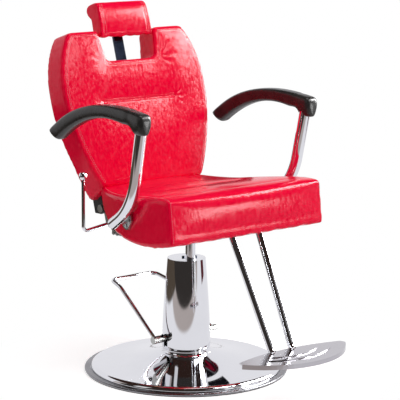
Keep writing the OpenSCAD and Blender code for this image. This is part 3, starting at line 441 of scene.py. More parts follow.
def finer(bm):
    """Splits every face of the grid into four, rounded as it goes."""
    bmesh.ops.subdivide_edges(bm, edges=bm.edges, cuts=1, use_grid_fill=True, smooth=0.0)
    smooth(bm)


def distance_to(path, co, closed=False):
    """Each point's distance to a path, in however many axes both have."""
    path = np.array(path, float)
    if closed:
        path = np.vstack([path, path[:1]])
    best = np.full(len(co), 1e9)
    for a, b in zip(path[:-1], path[1:]):
        d = b - a
        length = np.linalg.norm(d)
        if length < 1e-9:
            continue
        t = np.clip(((co - a) @ d) / length**2, 0, 1)
        best = np.minimum(best, np.linalg.norm(co - (a + t[:, None] * d), axis=1))
    return best


def dip(distance, width):
    """A smooth groove: 1 on the line and 0 beyond about two widths."""
    return np.exp(-((distance / width) ** 2))


def spaced(path, pitch):
    """Points at an even pitch along a path, each with the path's direction there."""
    out, left = [], pitch / 2
    for a, b in zip(path[:-1], path[1:]):
        length = (b - a).length
        if length < 1e-9:
            continue
        while left <= length:
            out.append((a.lerp(b, left / length), (b - a) / length))
            left += pitch
        left -= length
    return out


# a row's point farther than this from the cover gets no stitch
STITCH_REACH = 0.03


def stitches(name, body, cover_bm, paths):
    """Rows of thread laid on a cover: each stitch is a short bead that lies along its row."""
    tree = BVHTree.FromBMesh(cover_bm)
    bm = bmesh.new()
    thread, length = sizes().thread, sizes().stitch
    for path in paths:
        for place, along in spaced(path, sizes().stitch_pitch):
            hit, normal, _, _ = tree.find_nearest(place)
            if hit is None or (hit - place).length > STITCH_REACH:
                continue
            side = normal.cross(along)
            if side.length < 1e-6:
                continue
            side.normalize()
            along = side.cross(normal).normalized()
            basis = Matrix((side, along, normal)).transposed().to_4x4()
            seat = Matrix.Translation(hit + normal * thread * 0.15) @ basis
            bead = bmesh.ops.create_icosphere(bm, subdivisions=1, radius=0.5)["verts"]
            bmesh.ops.scale(bm, verts=bead, vec=(thread, length, thread))
            bmesh.ops.transform(bm, verts=bead, matrix=seat)
    take(bm, name, body, "polyester_thread")


def bezier(p, t):
    return (1 - t) ** 3 * p[0] + 3 * (1 - t) ** 2 * t * p[1] + 3 * (1 - t) * t * t * p[2] + t**3 * p[3]


def rounded(corners, radii, steps=6):
    """A closed outline whose corners are rounded."""
    out = []
    n = len(corners)
    for i, (corner, r) in enumerate(zip(corners, radii)):
        c = Vector(corner)
        a = Vector(corners[i - 1]) - c
        b = Vector(corners[(i + 1) % n]) - c
        if r <= 0:
            out.append(tuple(c))
            continue
        half = a.angle(b) / 2
        back = min(r / math.tan(half), a.length * 0.49, b.length * 0.49)
        p, q = c + a.normalized() * back, c + b.normalized() * back
        for k in range(steps + 1):
            t = k / steps
            out.append(tuple(p * (1 - t) ** 2 + c * 2 * t * (1 - t) + q * t * t))
    return out


# ---------------- backrest

LEAN = math.radians(17.4)
BACK_PLACE = Matrix.Translation((0, 0.1548, 0.545)) @ Matrix.Rotation(-LEAN, 4, "X")
BACK_LOW, BACK_H, BACK_T = -0.002, 0.463, 0.088
# the lower end slants down toward the rear, behind the seat
BACK_DROP = 0.032
BACK_SIDE = [np.array(p) for p in ((0.186, 0.0), (0.250, 0.245), (0.310, 0.72), (0.207, 1.0))]
NOTCH_LOW, NOTCH_TOP, NOTCH_H = 0.090, 0.104, 0.093
TUCK_U, TUCK_W = 0.246, 0.132
TUCK = [(-TUCK_W, TUCK_U), (TUCK_W, TUCK_U)]
# how far the two rows of top-stitching lie inside the edge
BACK_ROWS = (0.009, 0.0145)


def back_outline(steps=26):
    """Right-hand edge from the bottom up, across the top with its notch, and down the left."""
    half = []
    for i in range(steps + 1):
        w, s = bezier(BACK_SIDE, i / steps)
        half.append((w, BACK_LOW + s * BACK_H))
    top = BACK_LOW + BACK_H
    corners = half + [(NOTCH_TOP, top), (NOTCH_LOW, top - NOTCH_H)]
    corners += [(-w, u) for w, u in reversed(corners)]
    foot_w, head_w = half[0][0], half[-1][0]
    radii = []
    for w, u in corners:
        foot = abs(abs(w) - foot_w) < 1e-6 and u < 0.02
        head = abs(abs(w) - head_w) < 1e-6 and u > 0.4
        notch = u > top - NOTCH_H - 1e-6 and abs(w) < NOTCH_TOP + 1e-6
        radii.append(0.013 if foot or head else 0.012 if notch and u < top - 0.01 else 0.008 if notch else 0)
    return rounded(corners, radii)


class CHAIR_OT_back_cushion(bpy.types.Operator):
    """Builds the crowned back cushion with its boxing, notch, tuck and top-stitching"""

    bl_idname = "chair.back_cushion"
    bl_label = "Back cushion"

    def execute(self, context):
        outline = back_outline()
        bm = prism(outline, BACK_T, Matrix.Identity(4))
        front = [e for e in bm.edges if all(abs(v.co.y) < 1e-6 for v in e.verts)]
        bmesh.ops.bevel(bm, geom=front, offset=0.006, segments=3, profile=0.5, affect="EDGES", material=-1)
        co = points(bm)
        co[:, 2] -= BACK_DROP * share(co[:, 1] / BACK_T) * share((BACK_LOW + 0.08 - co[:, 2]) / 0.08)
        set_points(bm, co)
        bm = regrid(bm, sizes().voxel)
        co = points(bm)
        edge = distance_to(outline, co[:, [0, 2]], closed=True)
        tuck = distance_to(TUCK, co[:, [0, 2]])
        on_front = share((0.012 - co[:, 1]) / 0.006)
        free = on_front * share((edge - 0.004) / 0.03)
        co[:, 1] += dip(tuck, 0.008) * on_front * 0.003
        set_points(bm, co)
        held = 1 - free * (1 - 0.55 * dip(tuck, 0.008))
        inflate(bm, held, sizes().pressure, sizes().back_crown)
        finer(bm)
        self.sew(bm, outline)
        bmesh.ops.transform(bm, matrix=BACK_PLACE, verts=bm.verts)
        bm.normal_update()
        stitches("back_stitching", "back", bm, self.rows(outline))
        made = take(bm, "back_cover", "back", "crimson_vinyl")
        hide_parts("back_cushion")
        return {"FINISHED"}

    def sew(self, bm, outline):
        """Sinks the top-stitching and the tuck, and creases the vinyl round the tuck and the notch."""
        co = points(bm)
        edge = distance_to(outline, co[:, [0, 2]], closed=True)
        facing = share((0.02 - co[:, 1]) / 0.01)
        inside = edge * facing
        tuck = distance_to(TUCK, co[:, [0, 2]])
        outer, inner = BACK_ROWS
        groove = 0.0008 * dip(inside - outer, 0.0024) + 0.0006 * dip(inside - inner, 0.0024)
        co[:, 1] += groove * facing
        # fine creases fan out from the ends of the tuck and from the corners of the notch
        notch_u = BACK_LOW + BACK_H - NOTCH_H
        tuck_end = (TUCK_W, TUCK_U, 0.036, 0.0009, 9, 0.4)
        notch_corner = (NOTCH_LOW + 0.012, notch_u + 0.006, 0.06, 0.0012, 10, 1.1)
        for sign in (-1, 1):
            # the side at +X is drawn tighter
            pull = 1.0 if sign > 0 else 0.15
            for w, u, reach, depth, arms, phase in (tuck_end, notch_corner):
                dx, dz = (co[:, 0] - sign * w) * sign, co[:, 2] - u
                r = np.hypot(dx, dz)
                angle = np.arctan2(dz, dx)
                fold = np.sin(angle * arms + phase + sign + 1.4 * np.sin(r * 90))
                outward = share(np.cos(angle - 0.25) * 1.4 - 0.2)
                near = np.exp(-((r - 0.02) / reach * 2.0) ** 2)
                co[:, 1] += pull * depth * fold * outward * near * facing * share((inside - 0.016) / 0.02)
        # a sharper lip over the tuck
        co[:, 1] += 0.0022 * dip(tuck, 0.0036) * facing
        set_points(bm, co)

    def rows(self, outline):
        """The two rows of top-stitching inside the front edge, round the back and into its notch."""
        flat = [Vector((w, u)) for w, u in outline]
        rows = []
        for inset in BACK_ROWS:
            path = []
            n = len(flat)
            for i, p in enumerate(flat):
                tangent = (flat[(i + 1) % n] - flat[i - 1]).normalized()
                inward = Vector((-tangent.y, tangent.x))
                q = p + inward * inset
                path.append(BACK_PLACE @ Vector((q.x, -0.01, q.y)))
            rows.append(path)
        return rows


class CHAIR_OT_back_panel(bpy.types.Operator):
    """Builds the upholstered panel that closes the rear of the back"""

    bl_idname = "chair.back_panel"
    bl_label = "Rear panel"

    def execute(self, context):
        bm = merged("back_panel")
        bmesh.ops.transform(bm, matrix=BACK_PLACE.inverted(), verts=bm.verts)
        bm = regrid(bm, 0.005, rounds=4)
        co = points(bm)
        edge = distance_to(back_outline(), co[:, [0, 2]], closed=True)
        free = share((co[:, 1] - 0.0845) / 0.002) * share((edge - 0.014) / 0.02)
        inflate(bm, 1 - free, sizes().pressure * 0.6, 0.006)
        bmesh.ops.transform(bm, matrix=BACK_PLACE, verts=bm.verts)
        made = take(bm, "rear_panel_cover", "back", "crimson_vinyl_band")
        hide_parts("back_panel")
        return {"FINISHED"}


# ---------------- headrest

HEAD_LOW, HEAD_H = 0.437, 0.110
# side outline in millimetres: the foot, the step at the rear, the rolled top and the front
HEAD_SIDE = [(4, 2), (18, 3), (34, 12), (42, 22), (46, 22.1), (46, 66.1), (52, 68), (62, 80), (66, 92)]
HEAD_SIDE += [(63, 102), (52, 108), (34, 110), (16, 109.5), (5, 104), (0, 94), (-3, 74), (-4, 52), (-3, 30)]
HEAD_SIDE += [(0, 10)]
# half the width of the block, of its foot, of its top and between the end seams
HEAD_HALF, HEAD_FOOT, HEAD_TOP, HEAD_SEAM = 0.094, 0.095, 0.090, 0.093
HEAD_ROWS = (0.010, 0.017)


class CHAIR_OT_headrest(bpy.types.Operator):
    """Builds the headrest cushion with its rolled top and sewn ends"""

    bl_idname = "chair.headrest"
    bl_label = "Headrest"

    def execute(self, context):
        turn = Matrix.Rotation(math.pi / 2, 4, "Z")
        outline = [(n * MM, HEAD_LOW + u * MM) for n, u in HEAD_SIDE]
        bm = prism(outline, 2 * HEAD_HALF, turn)
        co = points(bm)
        co[:, 0] += HEAD_HALF if co[:, 0].mean() < 0 else -HEAD_HALF
        set_points(bm, co)
        bm = regrid(bm, 0.004)
        co = points(bm)
        high = share((co[:, 2] - HEAD_LOW) / HEAD_H)
        co[:, 0] *= (HEAD_FOOT + (HEAD_TOP - HEAD_FOOT) * high) / HEAD_HALF
        set_points(bm, co)
        side = np.abs(co[:, 0])
        free = share((HEAD_TOP - side) / 0.02)
        inflate(bm, 1 - free, sizes().pressure, 0.006)
        finer(bm)
        co = points(bm)
        side = np.abs(co[:, 0])
        # the two rows beside each end seam, and the gathered lower edge
        normal_n = np.where(co[:, 1] < 0.02, 1, -0.3)
        for inset in HEAD_ROWS:
            co[:, 1] += normal_n * 0.0012 * dip(side - (HEAD_SEAM - inset), 0.003)
        low = share((HEAD_LOW + 0.02 - co[:, 2]) / 0.02)
        co[:, 2] += low * 0.0022 * np.sin(co[:, 0] * 150 + 1.0) * np.cos(co[:, 0] * 47)
        set_points(bm, co)
        bmesh.ops.transform(bm, matrix=BACK_PLACE, verts=bm.verts)
        bm.normal_update()
        rows = []
        for sign in (-1, 1):
            for inset in HEAD_ROWS:
                x = sign * (HEAD_SEAM - inset)
                heights = [HEAD_LOW + 0.004 + HEAD_H * 0.96 * i / 30 for i in range(31)]
                rows.append([BACK_PLACE @ Vector((x, -0.006, z)) for z in heights])
        stitches("headrest_stitching", "headrest", bm, rows)
        made = take(bm, "headrest_cover", "headrest", "crimson_vinyl")
        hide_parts("headrest_cushion")
        return {"FINISHED"}


# ---------------- seat

DECK = 0.404
SEAT_FRONT, SEAT_L = 0.271, 0.455
SEAT_HALF_FRONT, SEAT_HALF_REAR = 0.279, 0.178
SEAT_LOW = [np.array(p) for p in ((-0.286, 0.049), (-0.120, -0.006), (0.200, 0.018), (0.184, 0.137))]
SEAT_SEAM = (0.172, 0.173, 0.115, 0.1375)
# seen from above, as x and y: the crease behind the front roll and the tuck across the seat
SEAT_BOLSTER = [(-0.262, -0.200), (-0.186, -0.215), (0.0, -0.228), (0.186, -0.215), (0.262, -0.200)]
SEAT_TUCK = [(-0.133, -0.080), (0.133, -0.080)]


def seat_half(y):
    t = share((y + SEAT_FRONT) / (SEAT_L - 0.004))
    return SEAT_HALF_FRONT + (SEAT_HALF_REAR - SEAT_HALF_FRONT) * t**2.1


def seam_height(y):
    return bezier(SEAT_SEAM, share((y + SEAT_FRONT) / SEAT_L))


def seat_side():
    """Side outline of the seat, as y and height above the deck: the bottom, then the top to the front."""
    low = [tuple(bezier(SEAT_LOW, i / 24)) for i in range(25)]
    top = [(y, seam_height(y)) for y in np.linspace(0.176, -SEAT_FRONT + 0.002, 24)]
    return low, top


class CHAIR_OT_seat_cushion(bpy.types.Operator):
    """Builds the seat cushion with its rolled front, side panels and tuck"""

    bl_idname = "chair.seat_cushion"
    bl_label = "Seat cushion"

    def execute(self, context):
        low, top = seat_side()
        bm = prism(low + top, 2 * SEAT_HALF_FRONT, Matrix.Rotation(math.pi / 2, 4, "Z"))
        co = points(bm)
        co[:, 0] -= co[:, 0].mean()
        set_points(bm, co)
        bm = regrid(bm, sizes().voxel)
        co = points(bm)
        across = co[:, 0] / SEAT_HALF_FRONT
        half = seat_half(co[:, 1])
        top_z = seam_height(co[:, 1])
        s = (co[:, 1] + SEAT_FRONT) / SEAT_L
        lifted = share((co[:, 2] - top_z + 0.05) / 0.05)
        crown = (0.002 + 0.018 * (1 - (2 * s - 1) ** 4)) * share(1 - across**2) ** 0.3
        co[:, 0] = across * half
        co[:, 2] += crown * lifted * 0.35
        set_points(bm, co)
        side = half - np.abs(co[:, 0])
        bottom = np.interp(co[:, 1], [p[0] for p in low], [p[1] for p in low])
        above = co[:, 2] - bottom
        crease = distance_to(SEAT_BOLSTER, co[:, [0, 1]])
        tuck = distance_to(SEAT_TUCK, co[:, [0, 1]])
        on_top = share((co[:, 2] - top_z + 0.02) / 0.01)
        on_front = share((-0.25 - co[:, 1]) / 0.01)
        free = share(on_top + on_front) * share((side - 0.006) / 0.02) * share((above - 0.008) / 0.03)
        held = 1 - free * (1 - 0.3 * dip(crease, 0.012) * on_top) * (1 - 0.4 * dip(tuck, 0.008) * on_top)
        inflate(bm, held, sizes().pressure, sizes().seat_crown)
        finer(bm)
        co = points(bm)
        on_top = share((co[:, 2] - seam_height(co[:, 1]) + 0.02) / 0.01)
        crease = distance_to(SEAT_BOLSTER, co[:, [0, 1]])
        tuck = distance_to(SEAT_TUCK, co[:, [0, 1]])
        co[:, 2] -= (0.0014 * dip(crease, 0.006) + 0.0018 * dip(tuck, 0.005)) * on_top
        # the vinyl is drawn under the board, so the lower front edge waves a little
        low_front = share((-0.22 - co[:, 1]) / 0.05) * share((0.075 - co[:, 2]) / 0.03)
        co[:, 2] += low_front * 0.0018 * np.sin(co[:, 0] * 95 + 0.7) * np.cos(co[:, 0] * 31)
        co[:, 2] += DECK
        set_points(bm, co)
        bm.normal_update()
        stitches("seat_stitching", "seat", bm, self.seam_rows())
        made = take(bm, "seat_cover", "seat", "crimson_vinyl")
        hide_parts("seat_cushion")
        return {"FINISHED"}

    def seam_rows(self):
        """A row inside each side seam, along the top and down the front."""
        rows = []
        for sign in (-1, 1):
            row = []
            for y in np.linspace(0.150, -SEAT_FRONT + 0.012, 40):
                x = float(seat_half(y)) - 0.007
                row.append(Vector((sign * x, y, DECK + float(seam_height(y)) + 0.012)))
            x = float(seat_half(-SEAT_FRONT)) - 0.007
            for k in range(16):
                z = 0.165 + (0.055 - 0.165) * k / 15
                y = -SEAT_FRONT - 0.015 * (0.172 - z) / 0.123
                row.append(Vector((sign * x, y - 0.004, DECK + z)))
            rows.append(row)
        return rows


# ---------------- arm pads

ARM_X = 0.304
PAD_TOP = [np.array(p) for p in ((0.237, 0.309), (0.130, 0.404), (-0.020, 0.430), (-0.206, 0.400))]
PAD_LOW = [np.array(p) for p in ((0.195, 0.284), (0.090, 0.360), (-0.020, 0.386), (-0.112, 0.366))]
# the round socket that takes the top of the tube
SOCKET_Y, SOCKET_R, SOCKET_LOW = -0.178, 0.021, 0.343
PARTING_Y = -0.148


def pad_floor(y):
    """Underside of an arm pad: along the arm, then down round the tube's socket."""
    t = max(0.0, (y - 0.195) / (-0.112 - 0.195))
    along = bezier([p[1] for p in PAD_LOW], min(1.0, t))
    tip = 0.025 * ((y - 0.195) / 0.042) ** 2 if y > 0.195 else 0.0
    near = min(1.0, max(0.0, (SOCKET_Y + SOCKET_R + 0.018 - y) / 0.026))
    return along + tip + (SOCKET_LOW - along - tip) * near * near * (3 - 2 * near)


def socket_chord(y):
    """How wide the socket is at y, against its diameter: 1 away from it."""
    near = min(1.0, max(0.0, (SOCKET_Y + SOCKET_R + 0.018 - y) / 0.018))
    round_off = math.sqrt(max(0.0, 1 - min(1.0, abs(y - SOCKET_Y) / (SOCKET_R + 0.010)) ** 2))
    return 1 + near * (max(0.45, round_off) - 1)


def ring_edges(*rings):
    """The edges that run round rings of vertices."""
    return list({e for ring in rings for v in ring for e in v.link_edges if e.other_vert(v) in ring})


class CHAIR_OT_arm_pads(bpy.types.Operator):
    """Builds the two moulded arm pads with their parting line"""

    bl_idname = "chair.arm_pads"
    bl_label = "Arm pads"

    def execute(self, context):
        for name, sign, node in (("arm_pad_right", -1, "pad_right"), ("arm_pad_left", 1, "pad_left")):
            bm = bmesh.new()
            rings, count = [], 28
            # where each ring lies along the pad, and its size against the full one: both ends are rounded off
            stations = [(0.0, 0.35), (0.004, 0.62), (0.012, 0.86)]
            stations += [(0.02 + 0.955 * (i / 44) ** 0.95, 1.0) for i in range(1, 45)]
            stations += [(0.983, 0.96), (0.99, 0.88), (0.996, 0.74), (1.0, 0.5)]
            for t, shrink in stations:
                y, top = bezier(PAD_TOP, t)
                floor = min(pad_floor(y), top - 0.002)
                ring = bmesh.ops.create_circle(bm, segments=count, radius=1.0)["verts"]
                parting = math.exp(-(((y - PARTING_Y) / 0.0022) ** 2)) * 0.0013
                for k, v in enumerate(ring):
                    a = 2 * math.pi * k / count
                    c, s = math.cos(a), math.sin(a)
                    power = 0.5 if s > 0 else 0.66
                    w = (0.022 * shrink - parting) * math.copysign(abs(c) ** power, c)
                    tall = shrink if s > 0 or y > 0 else 1 - 0.3 * (1 - shrink)
                    h = ((top - floor) / 2 * tall - parting) * math.copysign(abs(s) ** power, s)
                    w *= 1 + (socket_chord(y) - 1) * max(0.0, -s) ** 0.5
                    v.co = (sign * ARM_X + w, y, (top + floor) / 2 + h + DECK)
                rings.append(ring)
            for a, b in zip(rings[:-1], rings[1:]):
                bmesh.ops.bridge_loops(bm, edges=ring_edges(a, b))
            for ring in (rings[0], rings[-1]):
                bmesh.ops.contextual_create(bm, geom=ring_edges(ring))
            bmesh.ops.recalc_face_normals(bm, faces=bm.faces)
            made = take(bm, name, "seat", "pad_skin")
            sub = made.modifiers.new("smooth", "SUBSURF")
            sub.levels = sub.render_levels = 1
            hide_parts(node)
        return {"FINISHED"}


# ---------------- plated pieces

SHARP = math.radians(30)
TUBE_D, TUBE_BEND = 0.033, 0.19
# the left tube's top, corner and lower end
ARM_TUBE = [(ARM_X - 0.004, SOCKET_Y, DECK + 0.371), (ARM_X - 0.0095, -0.130, DECK + 0.1365)]
ARM_TUBE += [(ARM_X - 0.024, -0.019, DECK + 0.070)]
SMOOTHED = ("base_rim", "neck_ring", "ram")
# the pressed dish of the base, radius and height
DISH_CREST, DISH_CREST_Z, DISH_SEAT, DISH_SEAT_Z = 0.2685, 0.022, 0.072, 0.056
DISH_SHOULDER, DISH_FLANGE, DISH_WALL, DISH_HOLE = 0.0125, 0.2975, 0.003, 0.046
# the tapered cover of the pump and the slots that the pedal shaft swings in
COVER_FOOT, COVER_FOOT_Z, COVER_TOP, COVER_TOP_Z, COVER_WALL = 0.072, 0.073, 0.056, 0.335, 0.0015
SLOT_W, SLOT_Y, SLOT_TOP = 0.020, 0.008, 0.105


def body_of(node):
    return next(body for body, nodes in frame["record"]["behaviour"]["bodies"].items() if node in nodes)


def crease_edges(bm):
    """Marks as sharp the edges where a plated piece really turns a corner."""
    for edge in bm.edges:
        edge.smooth = edge.calc_face_angle(0.0) < SHARP


def turned(profile):
    """A closed outline, as radius and height, spun once round the upright axis."""
    bm = bmesh.new()
    verts = [bm.verts.new((0, -radius, z)) for radius, z in profile]
    edges = [bm.edges.new((a, b)) for a, b in zip(verts, verts[1:] + verts[:1])]
    round_it = {"cent": (0, 0, 0), "axis": (0, 0, 1), "angle": 2 * math.pi, "steps": sizes().spin_steps}
    bmesh.ops.spin(bm, geom=verts + edges, use_merge=True, **round_it)
    bmesh.ops.remove_doubles(bm, verts=bm.verts, dist=1e-6)
    bmesh.ops.recalc_face_normals(bm, faces=bm.faces)
    return bm


def dish_profile(steps=40):
    """The flange, the rounded shoulder, the cone up to the seat of the pump, and the same again inside."""

    def skin(drop):
        arc = []
        for i in range(13):
            a = math.radians(90 * i / 12)
            reach = DISH_SHOULDER - drop
            arc.append((DISH_CREST + reach * math.cos(a), DISH_CREST_Z - DISH_SHOULDER + reach * math.sin(a)))
        cone = []
        for i in range(1, steps + 1):
            s = i / steps
            lift = (DISH_SEAT_Z - DISH_CREST_Z) * (0.35 * s + 0.65 * s**2.2)
            cone.append((DISH_CREST + (DISH_SEAT - DISH_CREST) * s, DISH_CREST_Z - drop + lift))
        return arc + cone + [(DISH_HOLE, DISH_SEAT_Z - drop)]

    wall = DISH_CREST + DISH_SHOULDER
    under, over = skin(DISH_WALL), skin(0.0)
    foot = [(wall - DISH_WALL, DISH_WALL), (DISH_FLANGE, DISH_WALL)]
    foot += [(DISH_FLANGE, 2 * DISH_WALL), (wall, 2 * DISH_WALL)]
    return foot + over + under[::-1]


def cover_profile(steps=48):
    outer = []
    for i in range(steps + 1):
        s = i / steps
        radius = COVER_TOP + (COVER_FOOT - COVER_TOP) * (1 - s**1.4)
        outer.append((radius, COVER_FOOT_Z + (COVER_TOP_Z - COVER_FOOT_Z) * s))
    return outer + [(radius - COVER_WALL, z) for radius, z in outer[::-1]]


def cut_away(bm, cutters):
    """Cuts closed blocks out of a closed shell."""
    held = []
    for k, shape in enumerate([bm, *cutters]):
        held.append(as_object(f"cut_{k}", shape))
        shape.free()
    for cutter in held[1:]:
        cut = held[0].modifiers.new("cut", "BOOLEAN")
        cut.object = cutter
        cut.operation = "DIFFERENCE"
        cut.solver = "EXACT"
    out = baked(held[0])
    discard(*held)
    return out


def slot_cutters():
    """The two blocks of the shaft's slots: a straight one and the round at its upper end."""
    block = bmesh.new()
    bmesh.ops.create_cube(block, size=1.0)
    bmesh.ops.scale(block, verts=block.verts, vec=(0.2, SLOT_W, SLOT_TOP))
    bmesh.ops.translate(block, verts=block.verts, vec=(0, SLOT_Y, SLOT_TOP / 2))
    end = bmesh.new()
    place = Matrix.Translation((0, SLOT_Y, SLOT_TOP)) @ Matrix.Rotation(math.pi / 2, 4, "Y")
    radii = {"radius1": SLOT_W / 2, "radius2": SLOT_W / 2}
    bmesh.ops.create_cone(end, cap_ends=True, segments=40, depth=0.21, matrix=place, **radii)
    return [block, end]


def draw_out(bm, edges, move):
    """Draws an open end straight out, and gives back its new edges."""
    out = bmesh.ops.extrude_edge_only(bm, edges=edges)["geom"]
    bmesh.ops.translate(bm, verts=[g for g in out if isinstance(g, bmesh.types.BMVert)], vec=move)
    return [g for g in out if isinstance(g, bmesh.types.BMEdge) and len(g.link_faces) == 1]


def bent_bar(start, corner, end, diameter, bend, count=40, steps=20):
    """A round bar with one bend: a circle drawn straight, spun round the bend and drawn straight again."""
    start, corner, end = Vector(start), Vector(corner), Vector(end)
    first, second = (corner - start).normalized(), (end - corner).normalized()
    angle = first.angle(second)
    back = bend * math.tan(angle / 2)
    bm = bmesh.new()
    seat = Matrix.Translation(start) @ first.to_track_quat("Z", "Y").to_matrix().to_4x4()
    ring = bmesh.ops.create_circle(bm, segments=count, radius=diameter / 2, matrix=seat)["verts"]
    mouth = ring_edges(ring)
    edges = draw_out(bm, mouth, corner - first * back - start)
    centre = corner - first * back + (second - first * math.cos(angle)).normalized() * bend
    axis = first.cross(second).normalized()
    bent = bmesh.ops.spin(bm, geom=edges, cent=centre, axis=axis, angle=angle, steps=steps, use_merge=False)
    edges = [g for g in bent["geom_last"] if isinstance(g, bmesh.types.BMEdge)]
    edges = draw_out(bm, edges, end - corner - second * back)
    for rim in (mouth, edges):
        bmesh.ops.contextual_create(bm, geom=rim)
    bmesh.ops.remove_doubles(bm, verts=bm.verts, dist=1e-6)
    bmesh.ops.recalc_face_normals(bm, faces=bm.faces)
    return bm


class CHAIR_OT_plated_pieces(bpy.types.Operator):
    """Polishes the turned pieces to one unbroken surface and bends the two arm tubes"""

    bl_idname = "chair.plated_pieces"
    bl_label = "Plated pieces"

    def execute(self, context):
        shapes = {"base_dish": turned(dish_profile())}
        shapes["pump_cover"] = cut_away(turned(cover_profile()), slot_cutters())
        for node in SMOOTHED:
            shapes[node] = merged(node)
        for node, bm in shapes.items():
            crease_edges(bm)
            made = take(bm, f"{node}_plated", body_of(node), NODES[node].data.materials[0].name)
            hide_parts(node)
        for name, sign, node in (("arm_tube_right", -1, "arm_right"), ("arm_tube_left", 1, "arm_left")):
            bm = bent_bar(*((sign * x, y, z) for x, y, z in ARM_TUBE), TUBE_D, TUBE_BEND)
            crease_edges(bm)
            made = take(bm, name, "seat", NODES[node].data.materials[0].name)
            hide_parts(node)
        return {"FINISHED"}


# ---------------- finishes of the frame


class CHAIR_OT_finishes(bpy.types.Operator):
    """Gives every frame, pump and base part its plate, paint, casting or rubber"""

    bl_idname = "chair.finishes"
    bl_label = "Finishes"

    def execute(self, context):
        tones = colours()
        tint = tuple(tones.chrome)
        vinyl("crimson_vinyl", tuple(tones.vinyl), tuple(tones.vinyl_dark), 0.1)
        vinyl("crimson_vinyl_band", tuple(tones.vinyl), tuple(tones.vinyl_dark), 0.14)
        plain_finish("polyester_thread", tuple(tones.thread), darker(tones.thread, 0.8), 0.5, 0.2)
        # self-skinned polyurethane: satin, faintly leathery
        plain_finish("pad_skin", tuple(tones.pad), darker(tones.pad, 0.7), 0.24, 0.1, scale=70, bump=0.25)
        rubber = (srgb("#1C1B1B"), srgb("#121212"))
        iron = (srgb("#4A4A4C"), srgb("#2F2F31"))
        black = (srgb("#1E1E1F"), srgb("#131314"))
        finishes = {
            "chrome_plate": chrome("chrome_plate", tint, 0.035),
            "polished_ram": chrome("ground_ram", darker(tint, 0.95), 0.06, scratch=0.05),
            "brushed_rim": chrome("turned_rim", srgb("#88888C"), 0.24, 0.1, scratch=0.2),
            "zinc_steel": chrome("zinc_plate", srgb("#B8B9B6"), 0.27, 0.12),
            "black_rubber": plain_finish("black_rubber", *rubber, 0.7, 0.15, bump=0.3),
            "cast_body": plain_finish("cast_iron_paint", *iron, 0.5, 0.2, 0.6, bump=0.5, depth=0.0005),
            "bronze": chrome("sintered_bronze", srgb("#B08A4E"), 0.3, 0.1),
            "black_frame": plain_finish("black_powder_coat", *black, 0.42, 0.15, bump=0.35, coat=0.1),
            "black_oxide": chrome("blue_black_bar", srgb("#2A3040"), 0.12, 0.08),
            "plywood": birch_ply("birch_ply"),
            "red_vinyl": bpy.data.materials["crimson_vinyl"],
            "pad_foam": bpy.data.materials["pad_skin"],
            "black_plastic": plain_finish("black_plug", srgb("#171717"), srgb("#0F0F0F"), 0.4, 0.15),
        }
        for row in frame["record"]["subparts"]:
            part = NODES[row["node"]]
            part.data.materials.clear()
            part.data.materials.append(finishes[row["material_slot"]])
        # the foot plate is plated over a pressed, unpolished sheet
        NODES["foot_plate"].data.materials[0] = chrome("pressed_plate", srgb("#C2C0C5"), 0.13, 0.08)
        return {"FINISHED"}


# ---------------- studio

CAMERA_AZIMUTH, CAMERA_ELEVATION, CAMERA_ROLL = -0.68155, 0.190431, 0.0065
CAMERA_TARGET = Vector((0.03746, -0.01478, 0.50423))
CAMERA_DISTANCE, CAMERA_LENS = 5.23964, 161.43
FILL = 0.42
AIM = Vector((0, 0, 0.5))
# azimuths, in degrees: the two dark sides of the room, and the side straight behind the chair
DARK_FRONT, DARK_LEFT = -52, -157
BEHIND = 141
# how far out the room reaches, and the flags, about a third of a metre behind the base
ROOM, FLAGS = 4.4, 0.62


def away(azimuth, elevation):
    flat = math.cos(elevation)
    return Vector((math.sin(azimuth) * flat, -math.cos(azimuth) * flat, math.sin(elevation)))


def softbox(name, azimuth, elevation, distance, size, power):
    light = bpy.data.lights.new(name, "AREA")
    light.shape = "RECTANGLE"
    light.size, light.size_y = size
    light.energy = power
    lamp = bpy.data.objects.new(name, light)
    lamp.location = AIM + away(math.radians(azimuth), math.radians(elevation)) * distance
    lamp.rotation_euler = (AIM - lamp.location).to_track_quat("-Z", "Y").to_euler()
    bpy.context.scene.collection.objects.link(lamp)
    return lamp


def stand(bm, name, material):
    """Sets a card up so that only polished surfaces see it."""
    made = as_object(name, bm)
    bm.free()
    made.data.materials.append(material)
    made.visible_camera = made.visible_diffuse = made.visible_shadow = made.visible_transmission = False


def sweep(line, start, end, steps=24):
    """A line turned about the vertical from one azimuth to another, in degrees."""
    bm = bmesh.new()
    turn = Matrix.Rotation(math.radians(start), 4, "Z")
    verts = [bm.verts.new(turn @ Vector((0, -r, z))) for r, z in line]
    edges = [bm.edges.new(pair) for pair in zip(verts[:-1], verts[1:])]
    part = {"cent": (0, 0, 0), "axis": (0, 0, 1), "angle": math.radians(end - start), "steps": steps}
    bmesh.ops.spin(bm, geom=verts + edges, use_merge=False, **part)
    return bm


